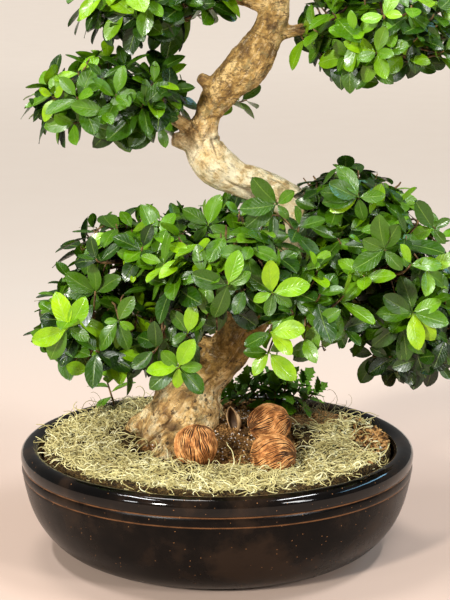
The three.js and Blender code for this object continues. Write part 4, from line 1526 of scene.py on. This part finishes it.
def addTwig(curve, limb, hub, facing, rise, draw):  # from the nearest place on the limb to the rosette
    line = smoothLine(limb, 8)
    outer = line[round(len(line) * foliage["leafStart"]):]
    fork = min(outer, key=lambda point: (point - hub).length + draw.uniform(0, 0.02))
    middle = fork.lerp(hub, 0.55) - up * draw.uniform(2, 9) * mm + across(facing) * draw.uniform(-6, 6) * mm
    middle += Vector((0, 0.5, 1)) * rise * mm  # a low tip hangs from the leaves above it
    neck = hub - facing * foliage["neck"] * mm
    points = smoothLine([fork, middle, neck, hub - facing * 1.5 * mm], 3)
    addTube(curve, points, taper(len(points), *foliage["twig"]))


def placePlant(name, slot, nodeName, forms, copies, finishes, curve):  # its blades and twigs, as one
    blades = copied("blades", forms, copies, finishes)
    twigs = curveToMesh(curve, "twigs")
    smooth(twigs, 180)
    dress(twigs, finishes[2])
    place(joined([blades, twigs], name), slot, nodeName)


def makeSprays():
    total = 0
    for pad in pads:
        for (px, py), leaves in fullRosettes.get(pad[0], []):
            point, _ = fullHub(pad, px, py)
            for x, y, _, _ in leaves:
                for share in (0.45, 0.8):
                    fullLeaves.append((px + (x - px) * share, py + (y - py) * share, point.y))
    for padIndex, pad in enumerate(pads):
        draw = random.Random(700 + padIndex)
        limb = limbPoints(pad)
        for number, hubs in enumerate(padHubs(padIndex, pad, draw), 1):
            copies = []
            curve = tubeCurve("twigs", 0)
            for hub, facing, kind in hubs:
                if isinstance(kind, list):
                    added = addFullRosette(copies, hub, kind, draw)
                else:
                    added = addRosette(copies, hub, facing, kind, draw)
                if added:
                    addTwig(curve, limb, hub, facing, foliage["tipRise"] if kind else 0, draw)
                total += added
            pascal = "".join(part.capitalize() for part in pad[0].split("_"))
            placePlant("leaves{}{}".format(pascal, number), "leaf", "spray_{}_{}".format(pad[0], number),
                       leafForms, copies, leafFinishes, curve)
    print("leaves:", total)


makeSprays()
print("leafy sprays ready")


# ---- small plants: the ground plant, the shoot and the trunk's sprig ----

smallPlants = {
    "groundHerb": {
        "node": "ground_plant", "slot": "herb_leaf", "foot": (62, 134), "leaves": 11, "length": 26,
        "youth": 0.42, "forms": herbForms, "finishes": herbFinishes,
        "stems": [(-46, -4, 30), (-30, -10, 38), (-17, 4, 40), (0, -12, 30), (15, -8, 42), (30, 2, 34),
                  (44, -6, 26), (0, 10, 36), (-58, -2, 22)]},
    "leafyShoot": {
        "node": "shoot", "slot": "leaf", "foot": (-104, 116), "leaves": 8, "length": 30,
        "youth": 0.3, "forms": leafForms, "finishes": leafFinishes, "stems": [(-18, -2, 60)]},
    "trunkSprig": {
        "node": "sprig", "slot": "leaf", "foot": (-4, 6, 452), "leaves": 8, "length": 27,
        "youth": 0.35, "forms": leafForms, "finishes": leafFinishes, "stems": [(34, 36, 0)]},
}
rooted = 6  # how far under the earth a plant starts
stemRadii = (1.5, 0.7)


def makeSmallPlants():
    for index, (name, plant) in enumerate(smallPlants.items()):
        draw = random.Random(900 + index)
        start = Vector(plant["foot"]).to_3d() * mm
        if len(plant["foot"]) == 2:
            start.z = moundAt(start.x, start.y) - rooted * mm
        copies = []
        curve = tubeCurve("stems", 0)
        for stem in plant["stems"]:
            tip = start + Vector(stem) * mm
            facing = (Vector(stem).normalized() + up * 0.5).normalized()
            for k in range(plant["leaves"]):
                share = k / (plant["leaves"] - 1)
                along = outward(facing, k * golden, math.radians(100 - 70 * share))
                root = start.lerp(tip, 0.45 + 0.55 * share)
                size = plant["length"] * mm * draw.uniform(0.75, 1.05)
                values = {"tone": draw.uniform(0.3, 0.95), "youth": plant["youth"] * draw.uniform(0.4, 1.4)}
                matrix = basis(along, facing + up * foliage["light"], root, size)
                copies.append((k % len(plant["forms"]), matrix, values))
            points = smoothLine([start, start.lerp(tip, 0.5) + Vector((0, 0, -2 * mm)), tip], 5)
            addTube(curve, points, taper(len(points), *stemRadii))
        placePlant(name, plant["slot"], plant["node"], plant["forms"], copies, plant["finishes"], curve)


makeSmallPlants()
print("small plants ready")
